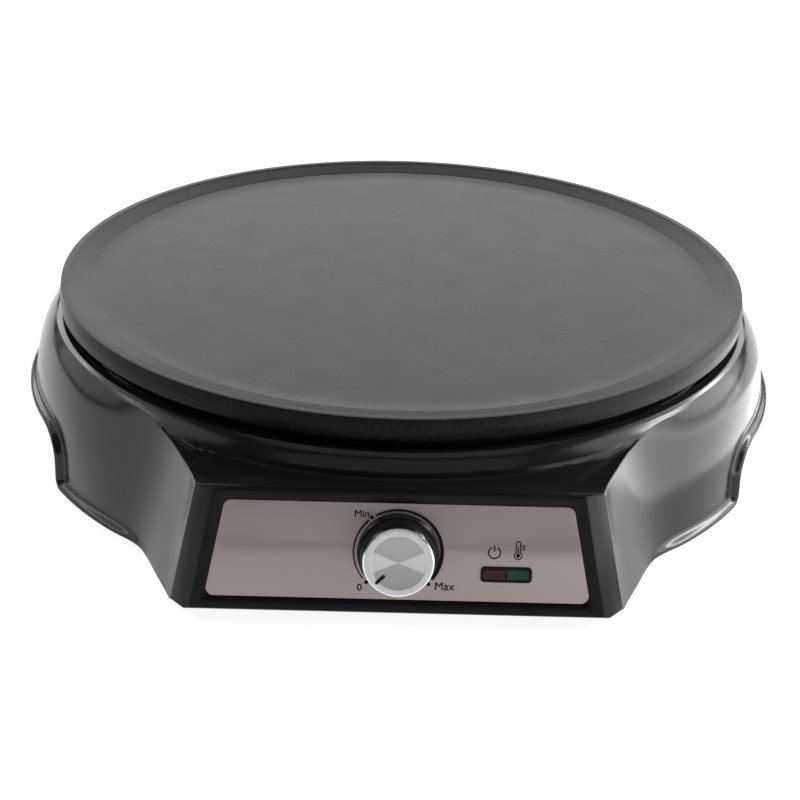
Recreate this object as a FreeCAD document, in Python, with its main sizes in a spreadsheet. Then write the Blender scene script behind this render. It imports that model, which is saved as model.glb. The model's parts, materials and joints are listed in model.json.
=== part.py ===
# Electric crepe maker: round griddle plate on a flared housing with a front control box.
# Millimetres, +Z up, front towards -Y. Heights below are taken from the worktop plane while the
# pieces are built; at the end all of them move down together, so that the origin is the centre of
# the cooking surface.
import FreeCAD, Part
import math, os
import Sketcher
from FreeCAD import Vector, Placement, Rotation

os.makedirs("parts", exist_ok=True)
doc = FreeCAD.newDocument("crepe_maker")
V = Vector

# ---------------------------------------------------------------- driving dimensions
sheet = doc.addObject("Spreadsheet::Sheet", "Dims")
DIMS = [
    # griddle plate
    ("plate_radius", 150.0), ("crest_z", 74.0), ("surface_z", 71.0), ("under_z", 66.2),
    ("crest_outer_r", 148.8), ("crest_inner_r", 146.6), ("slope_inner_r", 136.6),
    ("bevel_low_z", 69.2), ("edge_low_z", 65.2),
    ("skirt_outer_r", 143.6), ("skirt_inner_r", 140.6), ("skirt_low_z", 58.5),
    # heating element
    ("element_ring_r", 95.0), ("element_tube_r", 3.4), ("element_z", 62.5),
    ("element_gap_deg", 40.0), ("element_tail_z", 40.0),
    # reflector pan
    ("pan_r", 139.2), ("pan_low_z", 52.6), ("pan_sheet", 0.8), ("pan_rim_z", 57.5),
    # plate mounting
    ("mount_pitch_r", 131.0), ("mount_screw_r", 2.0), ("spacer_outer_r", 5.0),
    ("boss_low_z", 60.1),
    # housing
    ("wall", 2.4), ("shell_r", 161.2), ("shell_top_z", 60.7), ("shell_top_r", 150.6),
    ("opening_r", 146.6), ("web_low_z", 49.8), ("web_top_z", 52.3), ("web_inner_r", 124.0),
    ("bottom_z", 4.0), ("grip_half_deg", 28.0), ("grip_z", 28.4), ("lip_r", 164.4),
    ("post_pitch_r", 147.0), ("post_r", 4.5),
    # control box, panel frame: origin on the top front edge, leaning back
    ("lean_deg", 10.0), ("panel_y", -170.0), ("panel_z", 54.0),
    ("bezel_top_half", 70.0), ("bezel_bottom_half", 79.85), ("chamfer_top_half", 77.6),
    ("chamfer_bottom_half", 87.4), ("chamfer_depth", 5.0), ("panel_sheet", 2.6),
    ("fascia_top", 4.85), ("fascia_bottom", 43.5), ("fascia_top_half", 66.05),
    ("fascia_bottom_half", 73.8), ("fascia_sheet", 0.5), ("fascia_corner", 3.0),
    # rotary control
    ("knob_down", 24.4), ("knob_r", 14.8), ("knob_front", 11.1), ("cap_r", 13.5),
    ("cap_front", 12.1), ("shaft_r", 3.0),
    # indicator window
    ("window_x", 41.3), ("window_down", 32.35), ("window_wide", 19.6), ("window_high", 6.3),
    # bottom
    ("cover_low_z", 4.2), ("cover_sheet", 2.0), ("pocket_inner_r", 132.0), ("pocket_top_z", 28.0),
    ("foot_r", 11.0), ("cord_z", 22.0), ("cord_bore_r", 3.6),
]
for i, (nm, val) in enumerate(DIMS):
    sheet.set("A%d" % (i + 1), nm)
    sheet.set("B%d" % (i + 1), repr(val))
    sheet.setAlias("B%d" % (i + 1), nm)
doc.recompute()


def D(name):
    return float(getattr(sheet, name))


class _Names(dict):
    def __missing__(self, key):
        return D(key)


def num(expr):
    """Value of a number or of a sum/product of sheet aliases, worked out here for the first guess."""
    if isinstance(expr, (int, float)):
        return float(expr)
    total, term, sign, token = 0.0, None, 1.0, ""
    op = "*"
    for ch in expr.replace(" ", "") + "+":
        if ch in "+-*/" and not (ch == "-" and token == "" and term is None):
            if token:
                v = float(token) if token[0].isdigit() or token[0] == "." else D(token)
                term = v if term is None else (term * v if op == "*" else term / v)
                token = ""
            if ch in "*/":
                op = ch
            else:
                total += sign * (term if term is not None else 0.0)
                term, op = None, "*"
                sign = 1.0 if ch == "+" else -1.0
        elif ch == "-":
            sign = -sign
        else:
            token += ch
    return total


def sheet_expr(expr):
    """The same sum written with the sheet's name before each alias."""
    out, token = "", ""
    for ch in expr.replace(" ", "") + " ":
        if ch in "+-*/ ":
            if token:
                out += token if token[0].isdigit() or token[0] == "." else "Dims." + token
                token = ""
            out += ch
        else:
            token += ch
    return out.strip()


MADE = {}


def keep(obj, label):
    obj.Label = label
    MADE[label] = obj
    return obj


def new_body(label):
    b = doc.addObject("PartDesign::Body", label)
    return keep(b, label)


def plane(body, role):
    for f in body.Origin.OriginFeatures:
        if getattr(f, "Role", "") == role:
            return f
    raise ValueError(role)


def new_sketch(body, role, name, offset=None):
    s = body.newObject("Sketcher::SketchObject", name)
    s.AttachmentSupport = [(plane(body, role), "")]
    s.MapMode = "FlatFace"
    if offset is not None:
        if isinstance(offset, str):
            s.AttachmentOffset = Placement(V(0, 0, num(offset)), Rotation())
            s.setExpression("AttachmentOffset.Base.z", sheet_expr(offset))
        else:
            s.AttachmentOffset = Placement(V(0, 0, offset), Rotation())
    return s


def bind(sk, kind, geo, pos, expr, axis_for_zero):
    v = num(expr)
    if abs(v) < 1e-9:
        sk.addConstraint(Sketcher.Constraint("PointOnObject", geo, pos, axis_for_zero))
        return
    c = sk.addConstraint(Sketcher.Constraint(kind, -1, 1, geo, pos, v))
    if isinstance(expr, str):
        sk.setExpression("Constraints[%d]" % c, sheet_expr(expr))


def polygon(sk, pts):
    """Closed polygon whose corners are held from the origin by the sheet's values."""
    g0 = sk.GeometryCount
    n = len(pts)
    xy = [V(num(a), num(b), 0) for a, b in pts]
    for i in range(n):
        sk.addGeometry(Part.LineSegment(xy[i], xy[(i + 1) % n]), False)
    for i in range(n):
        sk.addConstraint(Sketcher.Constraint("Coincident", g0 + i, 2, g0 + (i + 1) % n, 1))
    for i, (a, b) in enumerate(pts):
        bind(sk, "DistanceX", g0 + i, 1, a, -2)
        bind(sk, "DistanceY", g0 + i, 1, b, -1)


def circle(sk, x, y, r):
    g = sk.addGeometry(Part.Circle(V(num(x), num(y), 0), V(0, 0, 1), num(r)), False)
    c = sk.addConstraint(Sketcher.Constraint("Radius", g, num(r)))
    if isinstance(r, str):
        sk.setExpression("Constraints[%d]" % c, sheet_expr(r))
    bind(sk, "DistanceX", g, 3, x, -2)
    bind(sk, "DistanceY", g, 3, y, -1)


def revolve(body, pts, name="profile", angle=360.0):
    sk = new_sketch(body, "XZ_Plane", name)
    polygon(sk, pts)
    r = body.newObject("PartDesign::Revolution", name + "_turn")
    r.Profile = sk
    r.ReferenceAxis = (sk, ["V_Axis"])
    r.Angle = angle
    doc.recompute()
    return r


def pad(body, role, loops, length, offset=None, name="outline", reverse=False):
    sk = new_sketch(body, role, name, offset)
    for lp in loops:
        if lp[0] == "circle":
            circle(sk, *lp[1:])
        else:
            polygon(sk, lp)
    p = body.newObject("PartDesign::Pad", name + "_pad")
    p.Profile = sk
    p.Length = num(length)
    if isinstance(length, str):
        p.setExpression("Length", sheet_expr(length))
    p.Reversed = reverse
    doc.recompute()
    return p


def pocket(body, role, loops, length, offset=None, name="cut", reverse=False):
    before = body.Shape.Volume
    sk = new_sketch(body, role, name, offset)
    for lp in loops:
        if lp[0] == "circle":
            circle(sk, *lp[1:])
        else:
            polygon(sk, lp)
    p = body.newObject("PartDesign::Pocket", name + "_pocket")
    p.Profile = sk
    p.Length = num(length)
    if isinstance(length, str):
        p.setExpression("Length", sheet_expr(length))
    p.Reversed = reverse
    doc.recompute()
    if body.Shape.Volume > before - 1e-6:
        p.Reversed = not reverse
        doc.recompute()
    if body.Shape.Volume > before - 1e-6:
        raise RuntimeError("pocket cuts nothing in " + body.Label)
    return p


def feature(label, shape, placement=None):
    f = doc.addObject("Part::Feature", label)
    f.Shape = shape
    if placement is not None:
        f.Placement = placement
    return keep(f, label)


def cyl(r, length, at=(0, 0, 0), axis=(0, 0, 1)):
    return Part.makeCylinder(r, length, V(*at), V(*axis))


def box(x0, x1, y0, y1, z0, z1):
    return Part.makeBox(x1 - x0, y1 - y0, z1 - z0, V(x0, y0, z0))


def turned(pts, angle=360.0, start=0.0):
    """Solid of revolution about Z from (r, z) points."""
    w = Part.makePolygon([V(r, 0, z) for r, z in pts] + [V(pts[0][0], 0, pts[0][1])])
    f = Part.Face(w)
    if start:
        f.rotate(V(0, 0, 0), V(0, 0, 1), start)
    return f.revolve(V(0, 0, 0), V(0, 0, 1), angle)


def polar(r, deg):
    return (r * math.cos(math.radians(deg)), r * math.sin(math.radians(deg)))


def tube(points, radius, bend):
    """Round tube along straight runs joined by tangent arcs."""
    P = [V(*p) for p in points]
    edges, last = [], P[0]
    for i in range(1, len(P) - 1):
        a, b, c = P[i - 1], P[i], P[i + 1]
        u = (a - b).normalize()
        w = (c - b).normalize()
        half = math.acos(max(-1.0, min(1.0, u.dot(w)))) / 2.0
        d = min(bend / math.tan(half), 0.45 * (a - b).Length, 0.45 * (c - b).Length)
        p1, p2 = b + u * d, b + w * d
        rr = d * math.tan(half)
        cen = b + (u + w).normalize() * (rr / math.sin(half))
        mid = cen + (b - cen).normalize() * rr
        if (p1 - last).Length > 1e-6:
            edges.append(Part.makeLine(last, p1))
        edges.append(Part.Arc(p1, mid, p2).toShape())
        last = p2
    edges.append(Part.makeLine(last, P[-1]))
    path = Part.Wire(edges)
    t = (P[1] - P[0]).normalize()
    prof = Part.Wire(Part.makeCircle(radius, P[0], t))
    s = path.makePipeShell([prof], True, False)
    want = math.pi * radius ** 2 * path.Length
    if abs(s.Volume - want) > 0.03 * want or not s.isValid():
        raise RuntimeError("tube volume off: %.1f for %.1f" % (s.Volume, want))
    return s


# panel frame: local x to the right, local y up the panel, local z out of the panel
LEAN = D("lean_deg")
PANEL = Placement(V(0, D("panel_y"), D("panel_z")), Rotation(V(1, 0, 0), 90.0 - LEAN))


def to_world(shape):
    s = shape.copy()
    s.Placement = PANEL.multiply(s.Placement)
    return s


def at_panel(obj):
    obj.Placement = PANEL
    return obj


MOUNTS = [45.0, 135.0, 225.0, 315.0]
POSTS = [40.0, 72.0, 108.0, 140.0, 222.0, 318.0]
FEET = [(-78.0, -140.0), (78.0, -140.0), (-95.0, 100.0), (95.0, 100.0)]

# ---------------------------------------------------------------- griddle plate
plate = new_body("griddle_plate")
revolve(plate, [
    (0, "under_z"), (0, "surface_z"), ("slope_inner_r", "surface_z"),
    ("crest_inner_r", "crest_z"), ("crest_outer_r", "crest_z"),
    ("plate_radius", "bevel_low_z"), ("plate_radius", "edge_low_z"),
    ("plate_radius - 2.5", "edge_low_z"), ("plate_radius - 3.4", "under_z"),
    ("skirt_outer_r", "under_z"), ("skirt_outer_r", "skirt_low_z"),
    ("skirt_inner_r", "skirt_low_z"), ("skirt_inner_r", "under_z")], "plate_profile")
# two ribs that bound the groove for the element
for nm, a, b in (("rib_in", "element_ring_r - 6.5", "element_ring_r - 3.5"),
                 ("rib_out", "element_ring_r + 3.5", "element_ring_r + 6.5")):
    r = new_sketch(plate, "XZ_Plane", nm)
    polygon(r, [(a, "element_z - 1"), (b, "element_z - 1"), (b, "under_z + 0.5"), (a, "under_z + 0.5")])
    f = plate.newObject("PartDesign::Revolution", nm + "_turn")
    f.Profile = r
    f.ReferenceAxis = (r, ["V_Axis"])
    f.Angle = 360.0
    doc.recompute()
# screw bosses, sensor boss and earth boss
mount_xy = [polar(D("mount_pitch_r"), a) for a in MOUNTS]
pad(plate, "XY_Plane", [("circle", x, y, 6.0) for x, y in mount_xy], "under_z - boss_low_z + 0.5",
    "boss_low_z", "mount_bosses")
pad(plate, "XY_Plane", [("circle", 0, 60.0, 5.5)], 13.0, "pan_low_z + 1.2", "earth_boss")
clamp_xy = [polar(D("element_ring_r") - 13.0, a) for a in (-45.0, 45.0, 135.0, 225.0)]
pad(plate, "XY_Plane", [("circle", x, y, 4.5) for x, y in clamp_xy], 6.0, "under_z - 5.2", "clamp_bosses")
pad(plate, "XY_Plane", [("circle", 0, -52.0, 4.5)], 6.0, "under_z - 5.2", "sensor_boss")
pocket(plate, "XY_Plane", [("circle", x, y, "mount_screw_r") for x, y in mount_xy], 8.0,
       "boss_low_z - 0.5", "mount_pilots", reverse=True)
pocket(plate, "XY_Plane", [("circle", 0, 60.0, "mount_screw_r")], 12.0, "pan_low_z + 0.5",
       "earth_pilot", reverse=True)
pocket(plate, "XY_Plane", [("circle", x, y, 1.5) for x, y in clamp_xy] + [("circle", 0, -52.0, 1.5)], 7.0,
       "under_z - 6.0", "clamp_pilots", reverse=True)

# ---------------------------------------------------------------- heating element
er, et, ez = D("element_ring_r"), D("element_tube_r"), D("element_z")
gap = D("element_gap_deg") / 2.0
a0, a1 = -90.0 + gap, 270.0 - gap


def element_shape():
    c = Part.Face(Part.Wire(Part.makeCircle(et, V(er, 0, ez), V(0, 1, 0))))
    c.rotate(V(0, 0, 0), V(0, 0, 1), a0)
    ring = c.revolve(V(0, 0, 0), V(0, 0, 1), a1 - a0)
    out = ring
    bend = 8.0
    for az, way in ((a0, -1.0), (a1, 1.0)):
        x, y = polar(er, az)
        t = V(-math.sin(math.radians(az)) * way, math.cos(math.radians(az)) * way, 0)
        low = D("element_tail_z")
        k = math.sqrt(0.5)
        p0, p2 = V(x, y, ez), V(x, y, ez - bend) + t * bend
        mid = V(x, y, ez - bend) + t * (bend * k) + V(0, 0, bend * k)
        path = Part.Wire([Part.Arc(p0, mid, p2).toShape(), Part.makeLine(p2, V(p2.x, p2.y, low))])
        q = path.makePipeShell([Part.Wire(Part.makeCircle(et, p0, t))], True, False)
        out = out.fuse(q)
    return out, bend


elem, ebend = element_shape()
feature("heating_element", elem.removeSplitter())
tails = []
for az, way in ((a0, -1.0), (a1, 1.0)):
    x, y = polar(er, az)
    tails.append((x - math.sin(math.radians(az)) * way * ebend, y + math.cos(math.radians(az)) * way * ebend))

# ceramic bushes and flat tabs on the element's cold ends
bush = new_body("element_end_bush_master")
revolve(bush, [("element_tube_r + 0.05", 0), (5.2, 0), (5.2, 5.0), (4.6, 6.0), ("element_tube_r + 0.05", 6.0)], "bush_profile")
MADE.pop("element_end_bush_master")


def copies(master, places):
    out = []
    for p in places:
        s = master.Shape.copy()
        s.Placement = p
        out.append(s)
    return Part.makeCompound(out)


feature("element_end_bushes", copies(bush, [Placement(V(x, y, 45.0), Rotation()) for x, y in tails]))
tab = Part.makeCompound([box(x - 3.1, x + 3.1, y - 0.4, y + 0.4, 31.0, 39.9) for x, y in tails])
feature("element_tabs", tab)

# clamps that hold the element up in its groove
clamps, clamp_screws = [], []
for x, y in clamp_xy:
    az = math.degrees(math.atan2(y, x))
    s = box(er - 18.0, er + 6.4, -6.0, 6.0, 57.6, 58.8)
    s = s.fuse(box(er - 18.0, er - 8.6, -6.0, 6.0, 58.8, 60.9)).removeSplitter()
    s = s.cut(cyl(1.8, 6.0, (er - 13.0, 0, 56.0)))
    s.rotate(V(0, 0, 0), V(0, 0, 1), az)
    clamps.append(s)
    k = cyl(1.45, 7.0, (0, 0, 57.5)).fuse(cyl(2.8, 1.9, (0, 0, 55.6))).removeSplitter()
    k.translate(V(x, y, 0))
    clamp_screws.append(k)
feature("element_clamps", Part.makeCompound(clamps))
feature("element_clamp_screws", Part.makeCompound(clamp_screws))

# ---------------------------------------------------------------- reflector pan
pan = new_body("reflector_pan")
revolve(pan, [(0, "pan_low_z"), ("pan_r", "pan_low_z"), ("pan_r", "pan_rim_z"),
              ("pan_r - pan_sheet", "pan_rim_z"), ("pan_r - pan_sheet", "pan_low_z + pan_sheet"),
              (0, "pan_low_z + pan_sheet")], "pan_profile")
pocket(pan, "XY_Plane", [("circle", x, y, 2.6) for x, y in mount_xy] +
       [("circle", x, y, 6.0) for x, y in tails] + [("circle", 0, 60.0, 2.3), ("circle", 34.0, -62.0, 4.0)],
       3.0, "pan_low_z - 1", "pan_holes", reverse=True)

# ---------------------------------------------------------------- plate spacers and screws
sp = new_body("plate_spacer_master")
revolve(sp, [("mount_screw_r + 0.4", "pan_low_z + 0.9"), ("spacer_outer_r", "pan_low_z + 0.9"),
             ("spacer_outer_r", "boss_low_z - 0.1"), ("mount_screw_r + 0.4", "boss_low_z - 0.1")], "spacer_profile")
MADE.pop("plate_spacer_master")
feature("plate_spacers", copies(sp, [Placement(V(x, y, 0), Rotation()) for x, y in mount_xy]))
ps = new_body("plate_screw_master")
revolve(ps, [(0, 46.9), (3.0, 46.9), (3.8, 47.8), (3.8, "web_low_z - 0.1"),
             ("mount_screw_r - 0.05", "web_low_z - 0.1"), ("mount_screw_r - 0.05", 66.0), (0, 66.8)], "screw_profile")
MADE.pop("plate_screw_master")
feature("plate_screws", copies(ps, [Placement(V(x, y, 0), Rotation()) for x, y in mount_xy]))

# ---------------------------------------------------------------- body shell
W = D("wall")
sr, st, bz = D("shell_r"), D("shell_top_z"), D("bottom_z")
SHOULDER = [(sr, 34.0), (160.5, 41.0), (159.3, 46.5), (157.7, 51.0), (155.8, 54.5), (153.6, 57.6), (151.6, 60.0),
            (D("shell_top_r"), st)]


def side_line(z, pts):
    """One side of the box in plan as a smooth curve."""
    s = Part.BSplineCurve()
    s.interpolate([V(x, y, z) for x, y in pts])
    return s.toShape()


BOT = [(87.6, -172.4), (94.2, -152.0), (101.6, -131.5), (110.5, -117.5), (121.0, -106.0)]
TOP = [(77.6, -165.4), (84.0, -146.0), (91.0, -128.6), (99.3, -117.6), (110.0, -107.0)]


def box_wire(z, front, pts, dx=0.0, y_front=None):
    P = [(x - dx, y) for x, y in pts]
    fx, fy = front
    fx -= dx
    if y_front is not None:
        fy = y_front
        P[0] = (P[0][0], P[0][1])
    e = []
    e.append(Part.makeLine(V(-fx, fy, z), V(fx, fy, z)))
    e.append(Part.makeLine(V(fx, fy, z), V(P[0][0], P[0][1], z)))
    e.append(side_line(z, P))
    back = -60.0
    e.append(Part.makeLine(V(P[-1][0], P[-1][1], z), V(P[-1][0] - 20.0, back, z)))
    e.append(Part.makeLine(V(P[-1][0] - 20.0, back, z), V(-P[-1][0] + 20.0, back, z)))
    e.append(Part.makeLine(V(-P[-1][0] + 20.0, back, z), V(-P[-1][0], P[-1][1], z)))
    m = [(-x, y) for x, y in P][::-1]
    e.append(side_line(z, m))
    e.append(Part.makeLine(V(-P[0][0], P[0][1], z), V(-fx, fy, z)))
    return Part.Wire(Part.__sortEdges__(e))


def lofted(w0, w1):
    s = Part.makeLoft([w0, w1], True, True)
    if s.Volume < 0:
        s = s.reversed()
    return Part.Solid(Part.Shell(s.Faces)) if not s.isValid() else s


def box_outer():
    """Box with its leaning front face, chamfered ends and splayed sides."""
    z0, z1 = bz, 54.0
    t = math.tan(math.radians(LEAN))
    fy0 = D("panel_y") - (D("panel_z") - z0) * t
    fy1 = D("panel_y")
    s = (D("panel_z") - z0) / math.cos(math.radians(LEAN))
    half0 = D("bezel_top_half") + (D("bezel_bottom_half") - D("bezel_top_half")) * s / 50.77
    return lofted(box_wire(z0, (half0, fy0), BOT), box_wire(z1, (D("bezel_top_half"), fy1), TOP))


def box_inner():
    z0, z1 = bz - 3.0, 54.0 - W
    b = [(x - W * 1.02, y) for x, y in BOT]
    t = [(x - W * 1.02, y) for x, y in TOP]
    # carried on past the front so that the front stays open
    return lofted(box_wire(z0, (b[0][0] - 1.0, -190.0), b), box_wire(z1, (t[0][0] - 1.0, -190.0), t))


outer_turn = turned([(0, bz), (sr, bz)] + SHOULDER + [(0, st)])
outer_box = box_outer()
outer = outer_turn.fuse(outer_box)

# cavity under the web, and cavity above it up to the ring's opening
low_pts = [(0, bz - 1), (sr - W, bz - 1), (sr - W, 34.0), (160.5 - W, 40.6), (159.3 - W, 45.8),
           (156.4, D("web_low_z")), (0, D("web_low_z"))]
up_pts = [(0, D("web_top_z")), (154.0, D("web_top_z")), (153.2, 54.2), (151.4, 56.9), (150.4, 58.2), (D("opening_r"), 58.6),
          (D("opening_r"), st + 1), (0, st + 1)]
shell = outer.cut(turned(low_pts)).cut(turned(up_pts)).cut(box_inner())
# the web's own opening and the front box share the middle
shell = shell.cut(cyl(D("web_inner_r"), 6.0, (0, 0, D("web_low_z") - 1)))
# front plane of the moulding, just behind the control panel
cutter = to_world(box(-120, 120, -80, 30, -D("chamfer_depth") - 0.05, 40))
shell = shell.cut(cutter)
# finger grips: the skirt is cut away at both sides
gh, gz = D("grip_half_deg"), D("grip_z")
for c in (0.0, 180.0):
    shell = shell.cut(turned([(150.0, bz - 2), (180.0, bz - 2), (180.0, gz), (150.0, gz)], 2 * gh, c - gh))
lr = D("lip_r")
lip_high = [(sr - W, gz), (lr - 0.2, gz), (lr + 0.2, gz + 0.9), (lr - 0.6, gz + 2.0), (sr + 0.9, gz + 3.2), (sr - 0.2, gz + 6.6), (sr - W, gz + 6.6)]
lip_low = [(sr - W, bz), (lr - 0.4, bz), (lr, bz + 1.2), (lr - 0.8, bz + 2.4), (sr + 0.9, bz + 3.8), (sr - 0.2, bz + 8.0), (sr - W, bz + 8.0)]
step = [(sr - W, bz), (lr - 0.4, bz), (lr - 0.4, gz + 2.0), (sr - 0.2, gz + 4.0), (sr - W, gz + 4.0)]
for c in (0.0, 180.0):
    shell = shell.fuse(turned(lip_high, 2 * gh, c - gh))
    for sgn in (-1.0, 1.0):
        shell = shell.fuse(turned(step, 1.0, c + sgn * (gh + 0.5) - 0.5))
shell = shell.fuse(turned(lip_low, 180.0 - 2 * gh, gh))
shell = shell.fuse(turned(lip_low, 18.6, -gh - 18.6)).fuse(turned(lip_low, 18.6, 180.0 + gh))
# posts for the bottom cover's screws, carried by the web
for a in POSTS:
    x, y = polar(D("post_pitch_r"), a)
    shell = shell.fuse(cyl(D("post_r"), D("web_low_z") + 1.0 - 6.4, (x, y, 6.4)))
# lugs that the control panel's screws pass through
lug_xy = [(-62.5, -11.0), (62.5, -11.0), (-70.0, -41.0), (70.0, -41.0)]
for x, y in lug_xy:
    s = 1.0 if x > 0 else -1.0
    lug = box(min(x - 5 * s, x + 30 * s), max(x - 5 * s, x + 30 * s), y - 4.4, y + 5.0, -15.6, -13.1)
    shell = shell.fuse(to_world(lug).common(outer_box))
for x, y in lug_xy:
    shell = shell.cut(to_world(cyl(1.8, 8.0, (x, y, -18.0))))
for a in POSTS:
    x, y = polar(D("post_pitch_r"), a)
    shell = shell.cut(cyl(1.5, 17.0, (x, y, 5.0)))
for x, y in mount_xy:
    shell = shell.fuse(cyl(7.5, 2.5, (x, y, D("web_low_z")))).cut(cyl(2.5, 6.0, (x, y, D("web_low_z") - 1)))
# cord opening in the rear wall
shell = shell.cut(cyl(6.2, 14.0, (0, 152.0, D("cord_z")), (0, 1, 0)))
shell = shell.removeSplitter()
feature("body_shell", shell)

# ---------------------------------------------------------------- bottom cover
cz, cs = D("cover_low_z"), D("cover_sheet")
rise = (cz + cs - (bz - 3.0)) / (54.0 - W - (bz - 3.0))
bt = [(xb + (xt - xb) * rise - W - 1.7, yb + (yt - yb) * rise) for (xb, yb), (xt, yt) in zip(BOT, TOP)]
fwire = box_wire(cz, (bt[0][0] - 1.0, bt[0][1] - 0.6), bt)
cover = cyl(sr - W - 0.4, cs, (0, 0, cz)).fuse(Part.Face(fwire).extrude(V(0, 0, cs)))
pr, pt = D("pocket_inner_r"), D("pocket_top_z")
for c in (0.0, 180.0):
    h = gh - 0.4
    cover = cover.fuse(turned([(pr, cz), (sr - W - 0.4, cz), (sr - W - 0.4, pt), (pr, pt)], 2 * h, c - h))
    h = gh - 1.4
    cover = cover.cut(turned([(pr + 2.0, cz - 2), (180.0, cz - 2), (180.0, pt - 2.0), (pr + 2.0, pt - 2.0)], 2 * h, c - h))
for a in POSTS:
    x, y = polar(D("post_pitch_r"), a)
    cover = cover.cut(cyl(1.9, 6.0, (x, y, 2.0)))
for x, y in FEET:
    cover = cover.cut(cyl(4.0, 6.0, (x, y, 2.0)))
for i in range(9):
    x = -48.0 + 12.0 * i
    for y0 in (-62.0, 22.0):
        s = box(x - 1.6, x + 1.6, y0, y0 + 40.0, 2.0, 9.0)
        cover = cover.cut(s)
# anvil block for the cord clamp, and bosses for the terminal block
cover = cover.fuse(box(-17.0, 17.0, 127.0, 137.0, cz + 0.5, 14.0)).cut(cyl(1.5, 8.0, (-13.0, 132.0, 7.5))).cut(cyl(1.5, 8.0, (13.0, 132.0, 7.5)))
TB = (-72.0, 62.0)
for dx in (-14.0, 14.0):
    cover = cover.fuse(cyl(3.2, 4.4, (TB[0] + dx, TB[1], cz + 0.5))).cut(cyl(1.25, 6.0, (TB[0] + dx, TB[1], 5.5)))
feature("bottom_cover", cover.removeSplitter())

cs_master = new_body("cover_screw_master")
revolve(cs_master, [(0, 1.9), (2.6, 1.9), (3.2, 2.6), (3.2, "cover_low_z - 0.1"), (1.45, "cover_low_z - 0.1"), (1.45, 17.0), (0, 18.6)], "screw_profile")
MADE.pop("cover_screw_master")
feature("bottom_cover_screws", copies(cs_master, [Placement(V(*polar(D("post_pitch_r"), a), 0), Rotation()) for a in POSTS]))

foot = new_body("foot_master")
revolve(foot, [(0, 0), ("foot_r - 1", 0), ("foot_r", 0.9), ("foot_r - 0.6", "cover_low_z - 0.1"), (3.8, "cover_low_z - 0.1"),
               (3.8, "cover_low_z + cover_sheet + 0.1"), (5.2, "cover_low_z + cover_sheet + 0.2"), (3.4, 9.4), (0, 9.4)], "foot_profile")
MADE.pop("foot_master")
feature("rubber_feet", copies(foot, [Placement(V(x, y, 0), Rotation()) for x, y in FEET]))

# ---------------------------------------------------------------- control panel (panel frame)
panel = new_body("control_panel")
dd = D("chamfer_depth")
f_out = new_sketch(panel, "XY_Plane", "face_outline")
polygon(f_out, [("-bezel_top_half", -0.3), ("bezel_top_half", -0.3), ("bezel_bottom_half", -50.7), ("-bezel_bottom_half", -50.7)])
b_out = new_sketch(panel, "XY_Plane", "back_outline", "-chamfer_depth")
polygon(b_out, [("-chamfer_top_half", -0.9), ("chamfer_top_half", -0.9), ("chamfer_bottom_half", -49.85), ("-chamfer_bottom_half", -49.85)])
lf = panel.newObject("PartDesign::AdditiveLoft", "panel_loft")
lf.Profile = f_out
lf.Sections = [b_out]
lf.Ruled = True
doc.recompute()
# tongue that enters the shell
pad(panel, "XY_Plane", [[("-chamfer_top_half + 3.2", -3.9), ("chamfer_top_half - 3.2", -3.9),
                         ("chamfer_bottom_half - 3.9", -45.9), ("-chamfer_bottom_half + 3.9", -45.9)]], 5.0,
    "-chamfer_depth - 4.5", "tongue")
# hollow behind the face
pocket(panel, "XY_Plane", [[(-66.5, -6.0), (66.5, -6.0), (75.0, -44.8), (-75.0, -44.8)]], 12.0,
       "-panel_sheet", "hollow")
# recess for the steel fascia
pocket(panel, "XY_Plane", [[("-fascia_top_half - 0.4", "-fascia_top + 0.4"), ("fascia_top_half + 0.4", "-fascia_top + 0.4"),
                            ("fascia_bottom_half + 0.4", "-fascia_bottom - 0.4"), ("-fascia_bottom_half - 0.4", "-fascia_bottom - 0.4")]],
       0.75, 0.0, "fascia_recess")
# shaft hole and light window
pocket(panel, "XY_Plane", [("circle", 0, "-knob_down", 5.0),
                           [("window_x - window_wide / 2 - 0.1", "-window_down - window_high / 2 - 0.1"),
                            ("window_x + window_wide / 2 + 0.1", "-window_down - window_high / 2 - 0.1"),
                            ("window_x + window_wide / 2 + 0.1", "-window_down + window_high / 2 + 0.1"),
                            ("window_x - window_wide / 2 - 0.1", "-window_down + window_high / 2 + 0.1")]],
       6.0, 0.0, "face_holes")
# bosses for the screws that hold it and for the thermostat's bracket
pad(panel, "XY_Plane", [("circle", -62.5, -11.0, 3.4), ("circle", 62.5, -11.0, 3.4),
                        ("circle", -70.0, -41.0, 3.4), ("circle", 70.0, -41.0, 3.4)], 11.0, -13.0, "bosses")
pad(panel, "XY_Plane", [("circle", -24.0, "-knob_down", 3.2), ("circle", 24.0, "-knob_down", 3.2)], 3.4, -5.4, "bracket_bosses")
pocket(panel, "XY_Plane", [("circle", -62.5, -11.0, 1.5), ("circle", 62.5, -11.0, 1.5),
                           ("circle", -70.0, -41.0, 1.5), ("circle", 70.0, -41.0, 1.5)], 9.0, -14.0, "boss_pilots", reverse=True)
pocket(panel, "XY_Plane", [("circle", -24.0, "-knob_down", 1.3), ("circle", 24.0, "-knob_down", 1.3)], 3.0, -6.0, "bracket_pilots", reverse=True)
at_panel(panel)

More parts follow.
